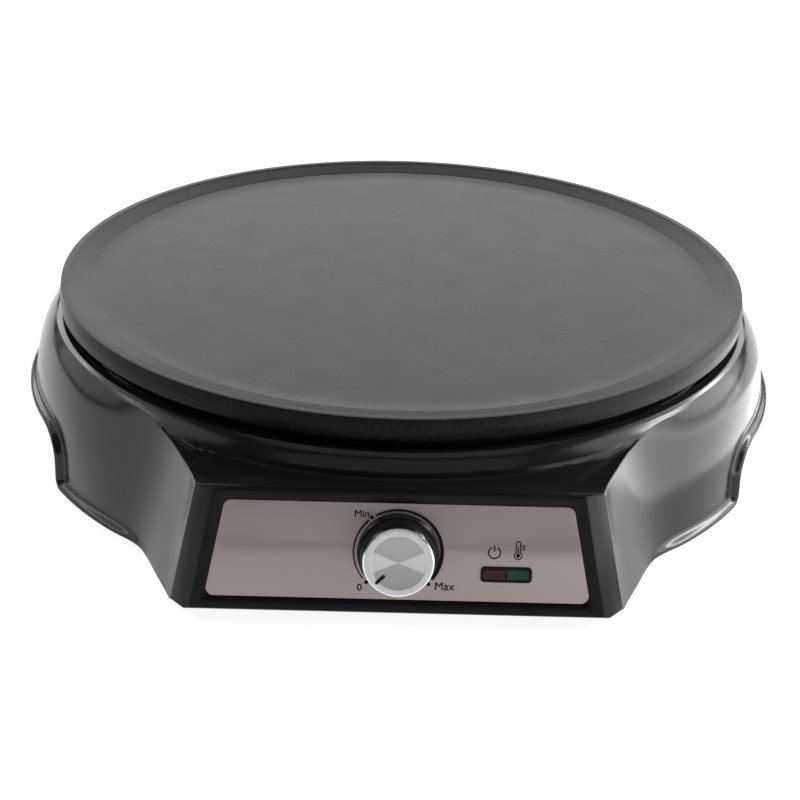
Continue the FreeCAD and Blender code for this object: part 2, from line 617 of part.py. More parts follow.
# ---------------------------------------------------------------- steel fascia
fascia = new_body("steel_fascia")
pad(fascia, "XY_Plane", [[("-fascia_top_half", "-fascia_top"), ("fascia_top_half", "-fascia_top"),
                          ("fascia_bottom_half", "-fascia_bottom"), ("-fascia_bottom_half", "-fascia_bottom")]],
    "fascia_sheet", -0.72, "sheet_outline")
corner = [i + 1 for i, e in enumerate(fascia.Shape.Edges)
          if abs(e.Length - D("fascia_sheet")) < 1e-6]
flat = fascia.Tip
fl = fascia.newObject("PartDesign::Fillet", "corner_rounds")
fl.Base = (flat, ["Edge%d" % e for e in corner])
fl.Radius = D("fascia_corner")
fl.setExpression("Radius", "Dims.fascia_corner")
doc.recompute()
pocket(fascia, "XY_Plane", [("circle", 0, "-knob_down", 6.5),
                            [("window_x - window_wide / 2 - 0.1", "-window_down - window_high / 2 - 0.1"),
                             ("window_x + window_wide / 2 + 0.1", "-window_down - window_high / 2 - 0.1"),
                             ("window_x + window_wide / 2 + 0.1", "-window_down + window_high / 2 + 0.1"),
                             ("window_x - window_wide / 2 - 0.1", "-window_down + window_high / 2 + 0.1")]],
       6.0, 2.0, "sheet_holes")
at_panel(fascia)

# ---------------------------------------------------------------- rotary control (panel frame, axis at 0,-knob_down)
KN = PANEL.multiply(Placement(V(0, -D("knob_down"), 0), Rotation()))
knob = new_body("knob_body")
revolve(knob, [(0, 7.4), (3.05, 7.4), (3.05, 0.9), (5.0, 0.9), (5.0, 7.6), (13.0, 7.6), (13.0, 0.4), ("knob_r", 0.4),
               ("knob_r", 1.4), (14.3, 9.4), (13.9, "knob_front - 0.4"), ("cap_r - 0.1", "knob_front"),
               (4.0, "knob_front"), (4.0, "knob_front - 1.2"), (0, "knob_front - 1.2")], "knob_profile")
knob.Placement = KN
cap = new_body("knob_cap")
revolve(cap, [(0, "knob_front - 1.1"), (3.9, "knob_front - 1.1"), (3.9, "knob_front + 0.05"), ("cap_r - 0.1", "knob_front + 0.05"),
              ("cap_r", "knob_front + 0.3"), ("cap_r", "cap_front - 0.4"), ("cap_r - 0.5", "cap_front"), (0, "cap_front")], "cap_profile")
cap.Placement = KN
sh = cyl(D("shaft_r") - 0.02, 22.0, (0, 0, -15.0)).cut(box(-5, 5, 1.6, 5, 0.8, 10.0))
feature("thermostat_shaft", sh, KN)
spring = box(-1.9, 1.9, 1.68, 2.1, 1.2, 6.8)
feature("knob_spring", spring, KN)

# ---------------------------------------------------------------- thermostat on its bracket
br = box(-28.0, 28.0, -7.0, 7.0, -6.7, -5.5)
br = br.cut(cyl(4.6, 4.0, (0, 0, -8.0)))
for x in (-24.0, 24.0):
    br = br.cut(cyl(1.7, 4.0, (x, 0, -8.0)))
for x in (-14.0, 14.0):
    br = br.cut(cyl(2.1, 4.0, (x, 0, -8.0)))
feature("thermostat_bracket", br, KN)
tbody = box(-17.0, 17.0, -14.0, 14.0, -28.0, -6.8)
tbody = tbody.makeFillet(2.0, [e for e in tbody.Edges if abs(e.Vertexes[0].Z - e.Vertexes[1].Z) > 1.0])
tbody = tbody.fuse(cyl(4.4, 3.4, (0, 0, -6.8))).cut(cyl(D("shaft_r") + 0.03, 14.0, (0, 0, -15.1)))
for x in (-14.0, 14.0):
    tbody = tbody.cut(cyl(2.0, 6.0, (x, 0, -12.0)))
for x in (-10.0, 0.0, 10.0):
    tbody = tbody.fuse(box(x - 3.0, x + 3.0, -0.4, 0.4, -36.0, -27.9))
feature("thermostat_body", tbody.removeSplitter(), KN)
scr = [cyl(1.95, 6.9, (x, 0, -11.9)).fuse(cyl(3.0, 1.9, (x, 0, -5.4))).removeSplitter() for x in (-14.0, 14.0)]
feature("thermostat_screws", Part.makeCompound(scr), KN)
scr = [cyl(1.25, 3.7, (x, 0, -6.9)).fuse(cyl(2.6, 1.7, (x, 0, -8.5))).removeSplitter() for x in (-24.0, 24.0)]
feature("bracket_screws", Part.makeCompound(scr), KN)
scr = []
for x, y in [(-62.5, -11.0), (62.5, -11.0), (-70.0, -41.0), (70.0, -41.0)]:
    scr.append(cyl(1.45, 12.0, (x, y, -17.5)).fuse(cyl(3.0, 1.9, (x, y, -17.6))).removeSplitter())
feature("panel_screws", Part.makeCompound(scr), PANEL)

# ---------------------------------------------------------------- indicator window
wx, wd, ww, wh = D("window_x"), D("window_down"), D("window_wide"), D("window_high")


def rounded(x0, x1, y0, y1, z0, z1, r):
    b = box(x0, x1, y0, y1, z0, z1)
    return b.makeFillet(r, [e for e in b.Edges if abs(e.Vertexes[0].Z - e.Vertexes[1].Z) > 1e-6])


frame = rounded(wx - ww / 2, wx + ww / 2, -wd - wh / 2, -wd + wh / 2, -2.5, 0.25, 1.6)
for c in (-4.55, 4.55):
    frame = frame.cut(rounded(wx + c - 4.15, wx + c + 4.15, -wd - 2.35, -wd + 2.35, -4.0, 2.0, 0.7))
feature("indicator_frame", frame, PANEL)
for nm, c in (("power_lens", -4.55), ("heat_lens", 4.55)):
    lens = rounded(wx + c - 4.05, wx + c + 4.05, -wd - 2.25, -wd + 2.25, -2.5, 0.1, 0.6)
    feature(nm, lens, PANEL)
hold = box(wx - 12.0, wx + 12.0, -wd - 5.0, -wd + 5.0, -16.0, -2.7)
lamps = []
for c in (-4.55, 4.55):
    hold = hold.cut(cyl(3.1, 14.0, (wx + c, -wd, -16.5)))
    lamp = cyl(2.9, 12.0, (wx + c, -wd, -16.4)).fuse(Part.makeSphere(2.9, V(wx + c, -wd, -6.4 + 1.9))).removeSplitter()
    lamps.append(lamp.cut(box(wx - 30, wx + 30, -60, 0, -2.65, 5)))
feature("lamp_holder", hold, PANEL)
feature("neon_lamps", Part.makeCompound(lamps), PANEL)

# ---------------------------------------------------------------- sensor, fuse, terminals, cord entry
bulb = cyl(3.0, 44.0, (-22.0, -44.0, 62.9), (1, 0, 0))
T0 = PANEL.multVec(V(17.5, -D("knob_down") - 6.0, -20.0))
cap_tube = tube([(21.0, -44.0, 62.9), (34.0, -44.0, 62.9), (34.0, -62.0, 60.0), (34.0, -62.0, 44.0),
                 (36.0, -100.0, 38.0), (34.0, T0.y, T0.z), (T0.x - 0.2, T0.y, T0.z)], 0.9, 5.0)
feature("temperature_sensor", bulb.fuse(cap_tube).removeSplitter())
clip = box(-5.0, 5.0, -56.0, -40.4, 58.4, 59.6).fuse(box(-5.0, 5.0, -41.6, -40.4, 58.4, 60.0))
clip = clip.fuse(box(-5.0, 5.0, -56.0, -48.6, 59.6, 60.9)).cut(cyl(1.7, 5.0, (0, -52.0, 57.0))).removeSplitter()
feature("sensor_clip", clip)
feature("sensor_screw", cyl(1.45, 7.0, (0, -52.0, 58.2)).fuse(cyl(2.7, 1.9, (0, -52.0, 56.4))).removeSplitter())

FZ = 48.9
fuse_body = cyl(2.0, 14.0, (50.0, -52.0, FZ), (0, 1, 0)).fuse(cyl(0.6, 24.0, (50.0, -57.0, FZ), (0, 1, 0))).removeSplitter()
feature("thermal_fuse", fuse_body)
fc = box(46.8, 53.2, -48.0, -42.0, FZ - 2.9, FZ - 2.1).fuse(box(46.8, 47.6, -48.0, -42.0, FZ - 2.9, 52.5)).fuse(box(52.4, 53.2, -48.0, -42.0, FZ - 2.9, 52.5))
fc = fc.fuse(box(52.4, 60.0, -48.0, -42.0, 51.7, 52.5)).removeSplitter()
feature("fuse_clip", fc)

tb = box(TB[0] - 22.0, TB[0] + 22.0, TB[1] - 9.0, TB[1] + 9.0, 9.2, 24.0)
for dx in (-14.0, 14.0):
    tb = tb.cut(cyl(1.8, 20.0, (TB[0] + dx, TB[1], 8.0))).cut(cyl(3.2, 6.0, (TB[0] + dx, TB[1], 19.0)))
for dx in (-7.0, 0.0, 7.0):
    tb = tb.cut(cyl(2.0, 20.0, (TB[0] + dx, TB[1] - 10.0, 16.0), (0, 1, 0)))
feature("terminal_block", tb.removeSplitter())
feature("terminal_block_screws", Part.makeCompound(
    [cyl(1.2, 12.5, (TB[0] + dx, TB[1], 6.6)).fuse(cyl(2.9, 2.2, (TB[0] + dx, TB[1], 19.05))).removeSplitter() for dx in (-14.0, 14.0)]))

cb = new_body("cord_bushing")
revolve(cb, [("cord_bore_r", 0), (7.2, 0), (7.4, 2.2), (6.0, 2.6), (6.0, 6.9), (8.6, 7.2), (8.6, 8.6), (7.4, 10.4), ("cord_bore_r", 10.4)], "bushing_profile")
cb.Placement = Placement(V(0, 154.35, D("cord_z")), Rotation(V(1, 0, 0), -90.0))
cc = box(-17.0, 17.0, 127.0, 137.0, 21.6, 24.6).fuse(box(-17.0, -9.0, 127.0, 137.0, 14.1, 21.6)).fuse(box(9.0, 17.0, 127.0, 137.0, 14.1, 21.6))
cc = cc.cut(cyl(1.8, 14.0, (-13.0, 132.0, 12.0))).cut(cyl(1.8, 14.0, (13.0, 132.0, 12.0))).removeSplitter()
feature("cord_clamp", cc)
feature("cord_clamp_screws", Part.makeCompound(
    [cyl(1.45, 16.5, (x, 132.0, 8.3)).fuse(cyl(3.0, 2.0, (x, 132.0, 24.7))).removeSplitter() for x in (-13.0, 13.0)]))
es = cyl(1.95, 12.0, (0, 60.0, 52.0)).fuse(cyl(4.2, 0.8, (0, 60.0, 51.7))).fuse(cyl(3.6, 2.2, (0, 60.0, 49.5))).removeSplitter()
feature("earth_screw", es)

# insulated wires between the terminals
tw = [PANEL.multVec(V(x, -D("knob_down"), -36.2)) for x in (-10.0, 0.0, 10.0)]
lampw = PANEL.multVec(V(wx, -wd, -16.6))
wires = [
    tube([(TB[0] - 7.0, TB[1] - 9.2, 16.0), (TB[0] - 7.0, 30.0, 16.0), (-40.0, -40.0, 24.0), (tw[0].x, -110.0, tw[0].z), (tw[0].x, tw[0].y + 0.2, tw[0].z)], 1.3, 14.0),
    tube([(tw[2].x, tw[2].y + 0.2, tw[2].z), (tw[2].x, -112.0, tw[2].z), (tails[0][0], -104.0, 22.0), (tails[0][0], tails[0][1], 24.0), (tails[0][0], tails[0][1], 30.9)], 1.3, 8.0),
    tube([(TB[0], TB[1] - 9.2, 16.0), (TB[0], 24.0, 16.0), (-20.0, -20.0, 30.0), (30.0, -20.0, FZ), (50.0, -20.0, FZ), (50.0, -32.8, FZ)], 1.3, 9.0),
    tube([(50.0, -57.2, FZ), (50.0, -72.0, FZ), (44.0, -84.0, 24.0), (0.0, -84.0, 20.0), (tails[1][0], tails[1][1], 20.0), (tails[1][0], tails[1][1], 30.9)], 1.3, 7.0),
    tube([(TB[0] + 7.0, TB[1] - 9.2, 16.0), (TB[0] + 7.0, 36.0, 18.0), (-30.0, 60.0, 40.0), (-12.0, 60.0, 47.0), (-4.6, 60.0, 50.4)], 1.3, 7.0),
]
feature("internal_wiring", Part.makeCompound(wires))

# ---------------------------------------------------------------- datum: centre of the cooking surface
doc.recompute()
DATUM = Placement(V(0, 0, -D("surface_z")), Rotation())
for label, obj in MADE.items():
    obj.Placement = DATUM.multiply(obj.Placement)

# ---------------------------------------------------------------- test and write
doc.recompute()
bad = [o.Name for o in doc.Objects if "Invalid" in o.State or "Error" in o.State]
if bad:
    raise RuntimeError("failed objects: %s" % bad)
for label, obj in MADE.items():
    sp_ = obj.Shape
    if sp_.isNull() or not sp_.isValid():
        raise RuntimeError("bad shape: " + label)
    n = len(sp_.Solids)
    if n == 0:
        raise RuntimeError("no solid: " + label)
for old in os.listdir("parts"):
    if old.endswith(".step"):
        os.remove(os.path.join("parts", old))
for label, obj in MADE.items():
    obj.Shape.exportStep("parts/%s.step" % label)
    bb = obj.Shape.BoundBox
    print("%-24s solids %d vol %.1f  x %.1f..%.1f y %.1f..%.1f z %.1f..%.1f" % (
        label, len(obj.Shape.Solids), obj.Shape.Volume, bb.XMin, bb.XMax, bb.YMin, bb.YMax, bb.ZMin, bb.ZMax))
print("nodes", len(MADE))
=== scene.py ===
import bpy, json, math
import numpy as np
from mathutils import Vector, Matrix


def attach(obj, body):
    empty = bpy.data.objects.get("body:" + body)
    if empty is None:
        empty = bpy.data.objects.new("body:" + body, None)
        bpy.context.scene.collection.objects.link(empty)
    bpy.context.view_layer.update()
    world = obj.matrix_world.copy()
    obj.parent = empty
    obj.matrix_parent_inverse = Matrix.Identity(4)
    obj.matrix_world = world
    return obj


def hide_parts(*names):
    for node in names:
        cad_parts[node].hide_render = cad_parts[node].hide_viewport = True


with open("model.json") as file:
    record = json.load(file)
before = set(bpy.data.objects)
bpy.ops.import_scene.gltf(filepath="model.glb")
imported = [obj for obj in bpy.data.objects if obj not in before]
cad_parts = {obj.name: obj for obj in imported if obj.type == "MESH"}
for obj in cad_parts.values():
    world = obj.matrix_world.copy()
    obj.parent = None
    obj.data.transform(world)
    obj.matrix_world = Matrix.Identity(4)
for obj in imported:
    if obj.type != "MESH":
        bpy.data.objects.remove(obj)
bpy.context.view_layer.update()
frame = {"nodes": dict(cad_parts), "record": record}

# Lengths below are in millimetres, heights from the worktop, until to_m() takes them to metres in the
# part's own frame, whose origin is the centre of the cooking surface, 71 mm above the worktop.
DATUM = 71.0
BASE, KNOB = "base", "temperature_knob"


def to_m(P):
    P = np.array(P, float).reshape(-1, 3)
    P[:, 2] -= DATUM
    return P * 1e-3


# ------------------------------------------------------------------ mesh helpers
def add_mesh(name, verts_mm, faces, mat, body, angle=35.0, world=True, matrix=None):
    me = bpy.data.meshes.new(name)
    P = np.array(verts_mm, float).reshape(-1, 3)
    if matrix is not None:
        M = np.array(matrix)
        P = P @ M[:3, :3].T + M[:3, 3]
    if world:
        P = to_m(P)
    me.from_pydata([tuple(p) for p in P], [], [tuple(int(i) for i in f) for f in faces])
    me.validate()
    me.update()
    me.shade_smooth()
    me.set_sharp_from_angle(angle=math.radians(angle))
    ob = bpy.data.objects.new(name, me)
    bpy.context.scene.collection.objects.link(ob)
    if mat is not None:
        me.materials.append(mat)
    if body:
        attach(ob, body)
    return ob


def outward(ob):
    """Faces turned outwards on a closed mesh."""
    import bmesh
    bm = bmesh.new()
    bm.from_mesh(ob.data)
    bmesh.ops.recalc_face_normals(bm, faces=bm.faces)
    bm.to_mesh(ob.data)
    bm.free()
    ob.data.update()
    return ob


def rounded(pts, radii, n=5, closed=True):
    """2-D outline with its corners turned into arcs (quadratic blends)."""
    pts = [np.array(p, float) for p in pts]
    out = []
    m = len(pts)
    for i, p in enumerate(pts):
        r = radii[i] if hasattr(radii, "__len__") else radii
        if (not closed and i in (0, m - 1)) or r <= 0:
            out.append(p)
            continue
        a, b = pts[i - 1], pts[(i + 1) % m]
        u, w = a - p, b - p
        lu, lw = np.linalg.norm(u), np.linalg.norm(w)
        u, w = u / lu, w / lw
        half = math.acos(max(-1, min(1, float(u @ w)))) / 2
        d = min(r / math.tan(half) if half > 1e-3 else 0, 0.48 * lu, 0.48 * lw)
        if d < 1e-6:
            out.append(p)
            continue
        rr = d * math.tan(half)
        c = p + (u + w) / np.linalg.norm(u + w) * (rr / math.sin(half))
        a0 = math.atan2(*(p + u * d - c)[::-1])
        a1 = math.atan2(*(p + w * d - c)[::-1])
        da = (a1 - a0 + math.pi) % (2 * math.pi) - math.pi
        for k in range(n + 1):
            t = a0 + da * k / n
            out.append(c + rr * np.array([math.cos(t), math.sin(t)]))
    return np.array(out)


def lathe(name, prof, seg, mat, body, matrix=None, world=True, angle=35.0):
    """Closed solid turned about Z from an open (r, z) outline that starts and ends on the axis,
    or from a closed ring outline that never touches it."""
    prof = [tuple(p) for p in prof]
    on_axis = abs(prof[0][0]) < 1e-9 and abs(prof[-1][0]) < 1e-9
    V, F, idx = [], [], []
    for r, z in prof:
        if abs(r) < 1e-9:
            idx.append([len(V)])
            V.append((0, 0, z))
        else:
            idx.append(list(range(len(V), len(V) + seg)))
            for k in range(seg):
                t = 2 * math.pi * k / seg
                V.append((r * math.cos(t), r * math.sin(t), z))
    n = len(prof)
    for i in range(n - 1 if on_axis else n):
        a, b = idx[i], idx[(i + 1) % n]
        for k in range(seg):
            k2 = (k + 1) % seg
            if len(a) == 1 and len(b) == 1:
                continue
            if len(a) == 1:
                F.append((a[0], b[k], b[k2]))
            elif len(b) == 1:
                F.append((a[k], b[0], a[k2]))
            else:
                F.append((a[k], b[k], b[k2], a[k2]))
    ob = add_mesh(name, V, F, mat, body, angle, world, matrix)
    return outward(ob)


def loops_mesh(name, loops, mat, body, matrix=None, close_first=True, close_last=True, angle=30.0):
    """Loops of the same number of points joined one to the next, the ends filled."""
    V, F = [], []
    n = len(loops[0])
    for lp in loops:
        V.extend([tuple(p) for p in lp])
    for i in range(len(loops) - 1):
        a, b = i * n, (i + 1) * n
        for k in range(n):
            k2 = (k + 1) % n
            F.append((a + k, a + k2, b + k2, b + k))
    if close_first:
        F.append(tuple(range(n - 1, -1, -1)))
    if close_last:
        F.append(tuple(range((len(loops) - 1) * n, len(loops) * n)))
    ob = add_mesh(name, V, F, mat, body, angle, True, matrix)
    return outward(ob)


# ------------------------------------------------------------------ materials
def material(name):
    m = bpy.data.materials.new(name)
    m.use_nodes = True
    nt = m.node_tree
    nt.nodes.clear()
    out = nt.nodes.new("ShaderNodeOutputMaterial")
    b = nt.nodes.new("ShaderNodeBsdfPrincipled")
    nt.links.new(b.outputs[0], out.inputs[0])
    return m, nt, b


def coords(nt, scale=(1, 1, 1), kind="Object"):
    tc = nt.nodes.new("ShaderNodeTexCoord")
    mp = nt.nodes.new("ShaderNodeMapping")
    mp.inputs["Scale"].default_value = scale
    nt.links.new(tc.outputs[kind], mp.inputs["Vector"])
    return mp.outputs["Vector"]


def noise(nt, vec, scale, detail=3.0, rough=0.5):
    n = nt.nodes.new("ShaderNodeTexNoise")
    n.inputs["Scale"].default_value = scale
    n.inputs["Detail"].default_value = detail
    n.inputs["Roughness"].default_value = rough
    nt.links.new(vec, n.inputs["Vector"])
    return n.outputs["Fac"]


def ramp(nt, fac, stops):
    r = nt.nodes.new("ShaderNodeValToRGB")
    el = r.color_ramp.elements
    while len(el) > 1:
        el.remove(el[-1])
    for i, (p, c) in enumerate(stops):
        e = el[0] if i == 0 else el.new(p)
        e.position = p
        c = (c, c, c) if not hasattr(c, "__len__") else c
        e.color = (c[0], c[1], c[2], 1)
    nt.links.new(fac, r.inputs[0])
    return r.outputs[0]


def bump(nt, b, height, strength, distance, prev=None):
    k = nt.nodes.new("ShaderNodeBump")
    k.inputs["Strength"].default_value = strength
    k.inputs["Distance"].default_value = distance
    nt.links.new(height, k.inputs["Height"])
    if prev is not None:
        nt.links.new(prev, k.inputs["Normal"])
    nt.links.new(k.outputs[0], b.inputs["Normal"])
    return k.outputs[0]


def moulded(name, lo, hi, rough=(0.2, 0.3), spec=0.5, grain=0.0, coat=0.0, metal=0.0, scale=25.0, grain_scale=2500.0):
    """Moulded or plated finish: broad colour drift, fine roughness variation and a slight grain."""
    m, nt, b = material(name)
    v = coords(nt)
    n1 = noise(nt, v, scale, 4.0)
    nt.links.new(ramp(nt, n1, [(0.3, lo), (0.7, hi)]), b.inputs["Base Color"])
    n2 = noise(nt, v, scale * 6, 5.0)
    nt.links.new(ramp(nt, n2, [(0.3, rough[0]), (0.7, rough[1])]), b.inputs["Roughness"])
    b.inputs["Specular IOR Level"].default_value = spec
    b.inputs["Metallic"].default_value = metal
    if coat:
        b.inputs["Coat Weight"].default_value = coat
        b.inputs["Coat Roughness"].default_value = 0.06
    if grain:
        bump(nt, b, noise(nt, v, grain_scale, 2.0), grain, 0.0001)
    return m


def coating():
    """Non-stick coating: near-black with fine pale specks and an orange-peel grain."""
    m, nt, b = material("griddle_coating")
    v = coords(nt)
    fine = noise(nt, v, 1500.0, 3.0, 0.7)
    specks = ramp(nt, fine, [(0.30, (0.006, 0.006, 0.0063)), (0.56, (0.009, 0.009, 0.0093)), (0.72, (0.040, 0.040, 0.042))])
    broad = ramp(nt, noise(nt, v, 9.0, 3.0), [(0.3, 0.92), (0.7, 1.06)])
    mix = nt.nodes.new("ShaderNodeMix")
    mix.data_type = "RGBA"
    mix.blend_type = "MULTIPLY"
    mix.inputs[0].default_value = 1.0
    nt.links.new(specks, mix.inputs[6])
    nt.links.new(broad, mix.inputs[7])
    nt.links.new(mix.outputs[2], b.inputs["Base Color"])
    rn = noise(nt, v, 60.0, 4.0)
    nt.links.new(ramp(nt, rn, [(0.3, 0.28), (0.7, 0.33)]), b.inputs["Roughness"])
    b.inputs["Specular IOR Level"].default_value = 0.08
    p = bump(nt, b, noise(nt, v, 1000.0, 3.0, 0.6), 0.45, 0.00014)
    bump(nt, b, noise(nt, v, 260.0, 2.0), 0.12, 0.0002, p)
    return m


def brushed(name, base, axis=0, rough=(0.26, 0.36), aniso=0.6, streak=0.08):
    """Rolled steel with fine lines along one axis."""
    m, nt, b = material(name)
    sc = [700.0, 700.0, 700.0]
    sc[axis] = 9.0
    v = coords(nt, tuple(sc))
    n = noise(nt, v, 1.0, 5.0, 0.65)
    lo = tuple(c * (1 - streak) for c in base)
    hi = tuple(min(1, c * (1 + streak)) for c in base)
    nt.links.new(ramp(nt, n, [(0.32, lo), (0.68, hi)]), b.inputs["Base Color"])
    nt.links.new(ramp(nt, n, [(0.3, rough[0]), (0.7, rough[1])]), b.inputs["Roughness"])
    b.inputs["Metallic"].default_value = 1.0
    b.inputs["Anisotropic"].default_value = aniso
    bump(nt, b, n, 0.08, 0.00005)
    return m


M_GRID = coating()
M_BODY = moulded("housing_gloss", (0.009, 0.0082, 0.0082), (0.013, 0.012, 0.012), (0.14, 0.21), 0.37, grain=0.02, scale=14.0)
M_PANEL = moulded("panel_gloss", (0.004, 0.004, 0.004), (0.006, 0.006, 0.006), (0.24, 0.32), 0.11, grain=0.03)
M_COVER = moulded("cover_matt", (0.018, 0.018, 0.018), (0.028, 0.028, 0.028), (0.5, 0.62), 0.4, grain=0.25)
M_STEEL = brushed("fascia_brushed", (0.322, 0.279, 0.271), 0, (0.50, 0.58), streak=0.035)
M_KNOB = moulded("knob_black", (0.003, 0.003, 0.003), (0.005, 0.005, 0.005), (0.18, 0.28), 0.25, grain=0.03)
M_RUBBER = moulded("rubber_black", (0.02, 0.02, 0.02), (0.035, 0.035, 0.034), (0.7, 0.85), 0.3, grain=0.3)
M_ZINC = moulded("zinc_plate", (0.50, 0.50, 0.50), (0.66, 0.66, 0.64), (0.25, 0.42), 0.5, grain=0.06, metal=1.0, scale=120.0)
M_SHEET = brushed("aluminised_sheet", (0.60, 0.60, 0.58), 1, (0.3, 0.45), 0.3)
M_SHEATH = moulded("element_sheath", (0.10, 0.085, 0.07), (0.28, 0.24, 0.20), (0.4, 0.55), 0.5, grain=0.1, metal=0.9, scale=60.0)
M_CERAM = moulded("ceramic_white", (0.66, 0.63, 0.56), (0.80, 0.78, 0.70), (0.45, 0.6), 0.4, grain=0.1, scale=80.0)
M_BRASS = moulded("brass_plain", (0.50, 0.36, 0.12), (0.62, 0.46, 0.18), (0.25, 0.4), 0.5, grain=0.05, metal=1.0, scale=90.0)
M_NYLON = moulded("nylon_white", (0.66, 0.64, 0.58), (0.76, 0.74, 0.68), (0.35, 0.45), 0.45, grain=0.05, scale=60.0)
M_WIRE = moulded("wire_sleeve", (0.40, 0.34, 0.28), (0.56, 0.50, 0.42), (0.6, 0.75), 0.3, grain=0.4, scale=200.0)
M_PRINT = moulded("print_black", (0.006, 0.006, 0.006), (0.010, 0.010, 0.010), (0.6, 0.7), 0.08, grain=0.02)


def lens_mat(name, deep, lit):
    m, nt, b = material(name)
    v = coords(nt)
    nt.links.new(ramp(nt, noise(nt, v, 90.0, 3.0), [(0.35, deep), (0.65, lit)]), b.inputs["Base Color"])
    nt.links.new(ramp(nt, noise(nt, v, 300.0, 2.0), [(0.3, 0.10), (0.7, 0.18)]), b.inputs["Roughness"])
    b.inputs["Specular IOR Level"].default_value = 0.15
    b.inputs["Transmission Weight"].default_value = 0.1
    return m


M_RED = lens_mat("lens_red", (0.030, 0.002, 0.004), (0.060, 0.004, 0.008))
M_GREEN = lens_mat("lens_green", (0.001, 0.030, 0.018), (0.003, 0.055, 0.036))
m_glass, nt_, b_ = material("lamp_glass")
nt_.links.new(ramp(nt_, noise(nt_, coords(nt_), 200.0), [(0.3, (0.85, 0.8, 0.75)), (0.7, (0.95, 0.9, 0.85))]), b_.inputs["Base Color"])
b_.inputs["Transmission Weight"].default_value = 0.8
b_.inputs["Roughness"].default_value = 0.08

BY_SLOT = {"griddle_coating": M_GRID, "housing_plastic": M_BODY, "panel_plastic": M_PANEL, "cover_plastic": M_COVER,
           "brushed_fascia": M_STEEL, "knob_plastic": M_KNOB, "knob_aluminium": M_ZINC, "red_lens": M_RED,
           "green_lens": M_GREEN, "rubber_black": M_RUBBER, "zinc_steel": M_ZINC, "sheet_steel": M_SHEET,
           "element_sheath": M_SHEATH, "ceramic_white": M_CERAM, "brass_parts": M_BRASS, "nylon_white": M_NYLON,
           "lamp_glass": m_glass, "wire_sleeve": M_WIRE, "thermostat_case": M_CERAM}
slot_of = {s["node"]: s["material_slot"] for s in frame["record"]["subparts"]}
for node, ob in frame["nodes"].items():
    mat = BY_SLOT[slot_of[node]]
    if not ob.material_slots:
        ob.data.materials.append(mat)
    for s in ob.material_slots:
        s.material = mat

# ------------------------------------------------------------------ griddle plate
outer_part = rounded([(0, 66.2), (140.6, 66.2), (140.6, 58.5), (143.6, 58.5), (143.6, 66.2), (146.6, 66.2), (147.5, 65.2),
                      (150.0, 65.2), (150.0, 69.3), (149.35, 73.86), (146.7, 74.0)],
                     [0, 0.6, 0.6, 0.6, 0.8, 0.5, 0.4, 0.7, 0.5, 0.3, 0], 4, closed=False)
slope = [(146.4, 73.96), (146.1, 73.87)]
slope += [(r_, 71.62 + (r_ - 136.8) * 0.2345) for r_ in (145.5, 144.0, 142.0, 140.0, 138.0, 137.1)]
slope += [(136.85, 71.60), (136.6, 71.575)]
slope += [(r_, 71.0 + 0.60 * ((r_ - 127.0) / 9.8) ** 2) for r_ in (136.2, 135.0, 133.5, 132.0, 130.5, 129.0, 127.0)]
prof = [tuple(q) for q in outer_part] + slope + [(r, 71.0) for r in (110.0, 90.0, 60.0, 30.0, 10.0, 0.0)]
plate = lathe("griddle_plate_cast", prof, 360, M_GRID, BASE, angle=50.0)
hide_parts("griddle_plate")

# ------------------------------------------------------------------ housing
SR, WALL = 161.2, 2.4
SK_Z = np.array([4.0, 20.0, 34.0, 41.0, 46.5, 51.0, 54.5, 57.6, 60.0])
SK_R = np.array([161.2, 161.2, 161.0, 160.3, 159.1, 157.6, 155.9, 153.7, 151.5])
PER = math.pi / 180.0 * SR      # mm of girth per degree

CORNER_T, CORNER_B = (77.6, -165.23, 52.25), (87.6, -168.75, 4.0)
AZ_T = math.degrees(math.atan2(CORNER_T[1], CORNER_T[0]))       # -64.8
AZ_B = math.degrees(math.atan2(CORNER_B[1], CORNER_B[0]))       # -63.3
# crease between the box's top and its side: azimuth, radius, height
CR = np.array([(AZ_T, math.hypot(*CORNER_T[:2]), 52.25), (-62.6, 174.6, 52.4), (-60.1, 168.2, 52.7), (-57.4, 162.2, 53.2),
               (-54.7, 157.9, 54.0), (-52.0, 155.2, 55.4), (-49.8, 154.0, 56.9), (-47.5, 153.5, 57.6), (-45.0, 153.3, 57.9),
               (-41.5, 153.4, 57.9), (-38.0, 153.6, 57.7), (-34.0, 153.7, 57.6), (90.0, 153.7, 57.6)])
# foot of the wall: azimuth, radius
BT = np.array([(AZ_B, math.hypot(*CORNER_B[:2])), (-60.5, 184.2), (-57.0, 175.8), (-54.4, 170.2), (-52.2, 166.4),
               (-50.6, 164.2), (-49.0, 162.8), (-47.0, 161.8), (-44.5, 161.3), (-42.0, 161.2), (90.0, 161.2)])


def smooth_interp(x, xs, ys):
    """Monotone cubic through the points."""
    xs, ys = np.asarray(xs, float), np.asarray(ys, float)
    h = np.diff(xs)
    d = np.diff(ys) / h
    m = np.zeros(len(xs))
    for i in range(1, len(xs) - 1):
        if d[i - 1] * d[i] > 0:
            w1, w2 = 2 * h[i] + h[i - 1], h[i] + 2 * h[i - 1]
            m[i] = (w1 + w2) / (w1 / d[i - 1] + w2 / d[i])
    m[0], m[-1] = d[0], d[-1]
    x = min(max(x, xs[0]), xs[-1])
    i = min(max(int(np.searchsorted(xs, x) - 1), 0), len(xs) - 2)
    t = (x - xs[i]) / h[i]
    return ((2 * t ** 3 - 3 * t ** 2 + 1) * ys[i] + (t ** 3 - 2 * t ** 2 + t) * h[i] * m[i]
            + (-2 * t ** 3 + 3 * t ** 2) * ys[i + 1] + (t ** 3 - t ** 2) * h[i] * m[i + 1])


def sstep(x, a, b):
    t = min(max((x - a) / (b - a), 0.0), 1.0)
    return t * t * (3 - 2 * t)


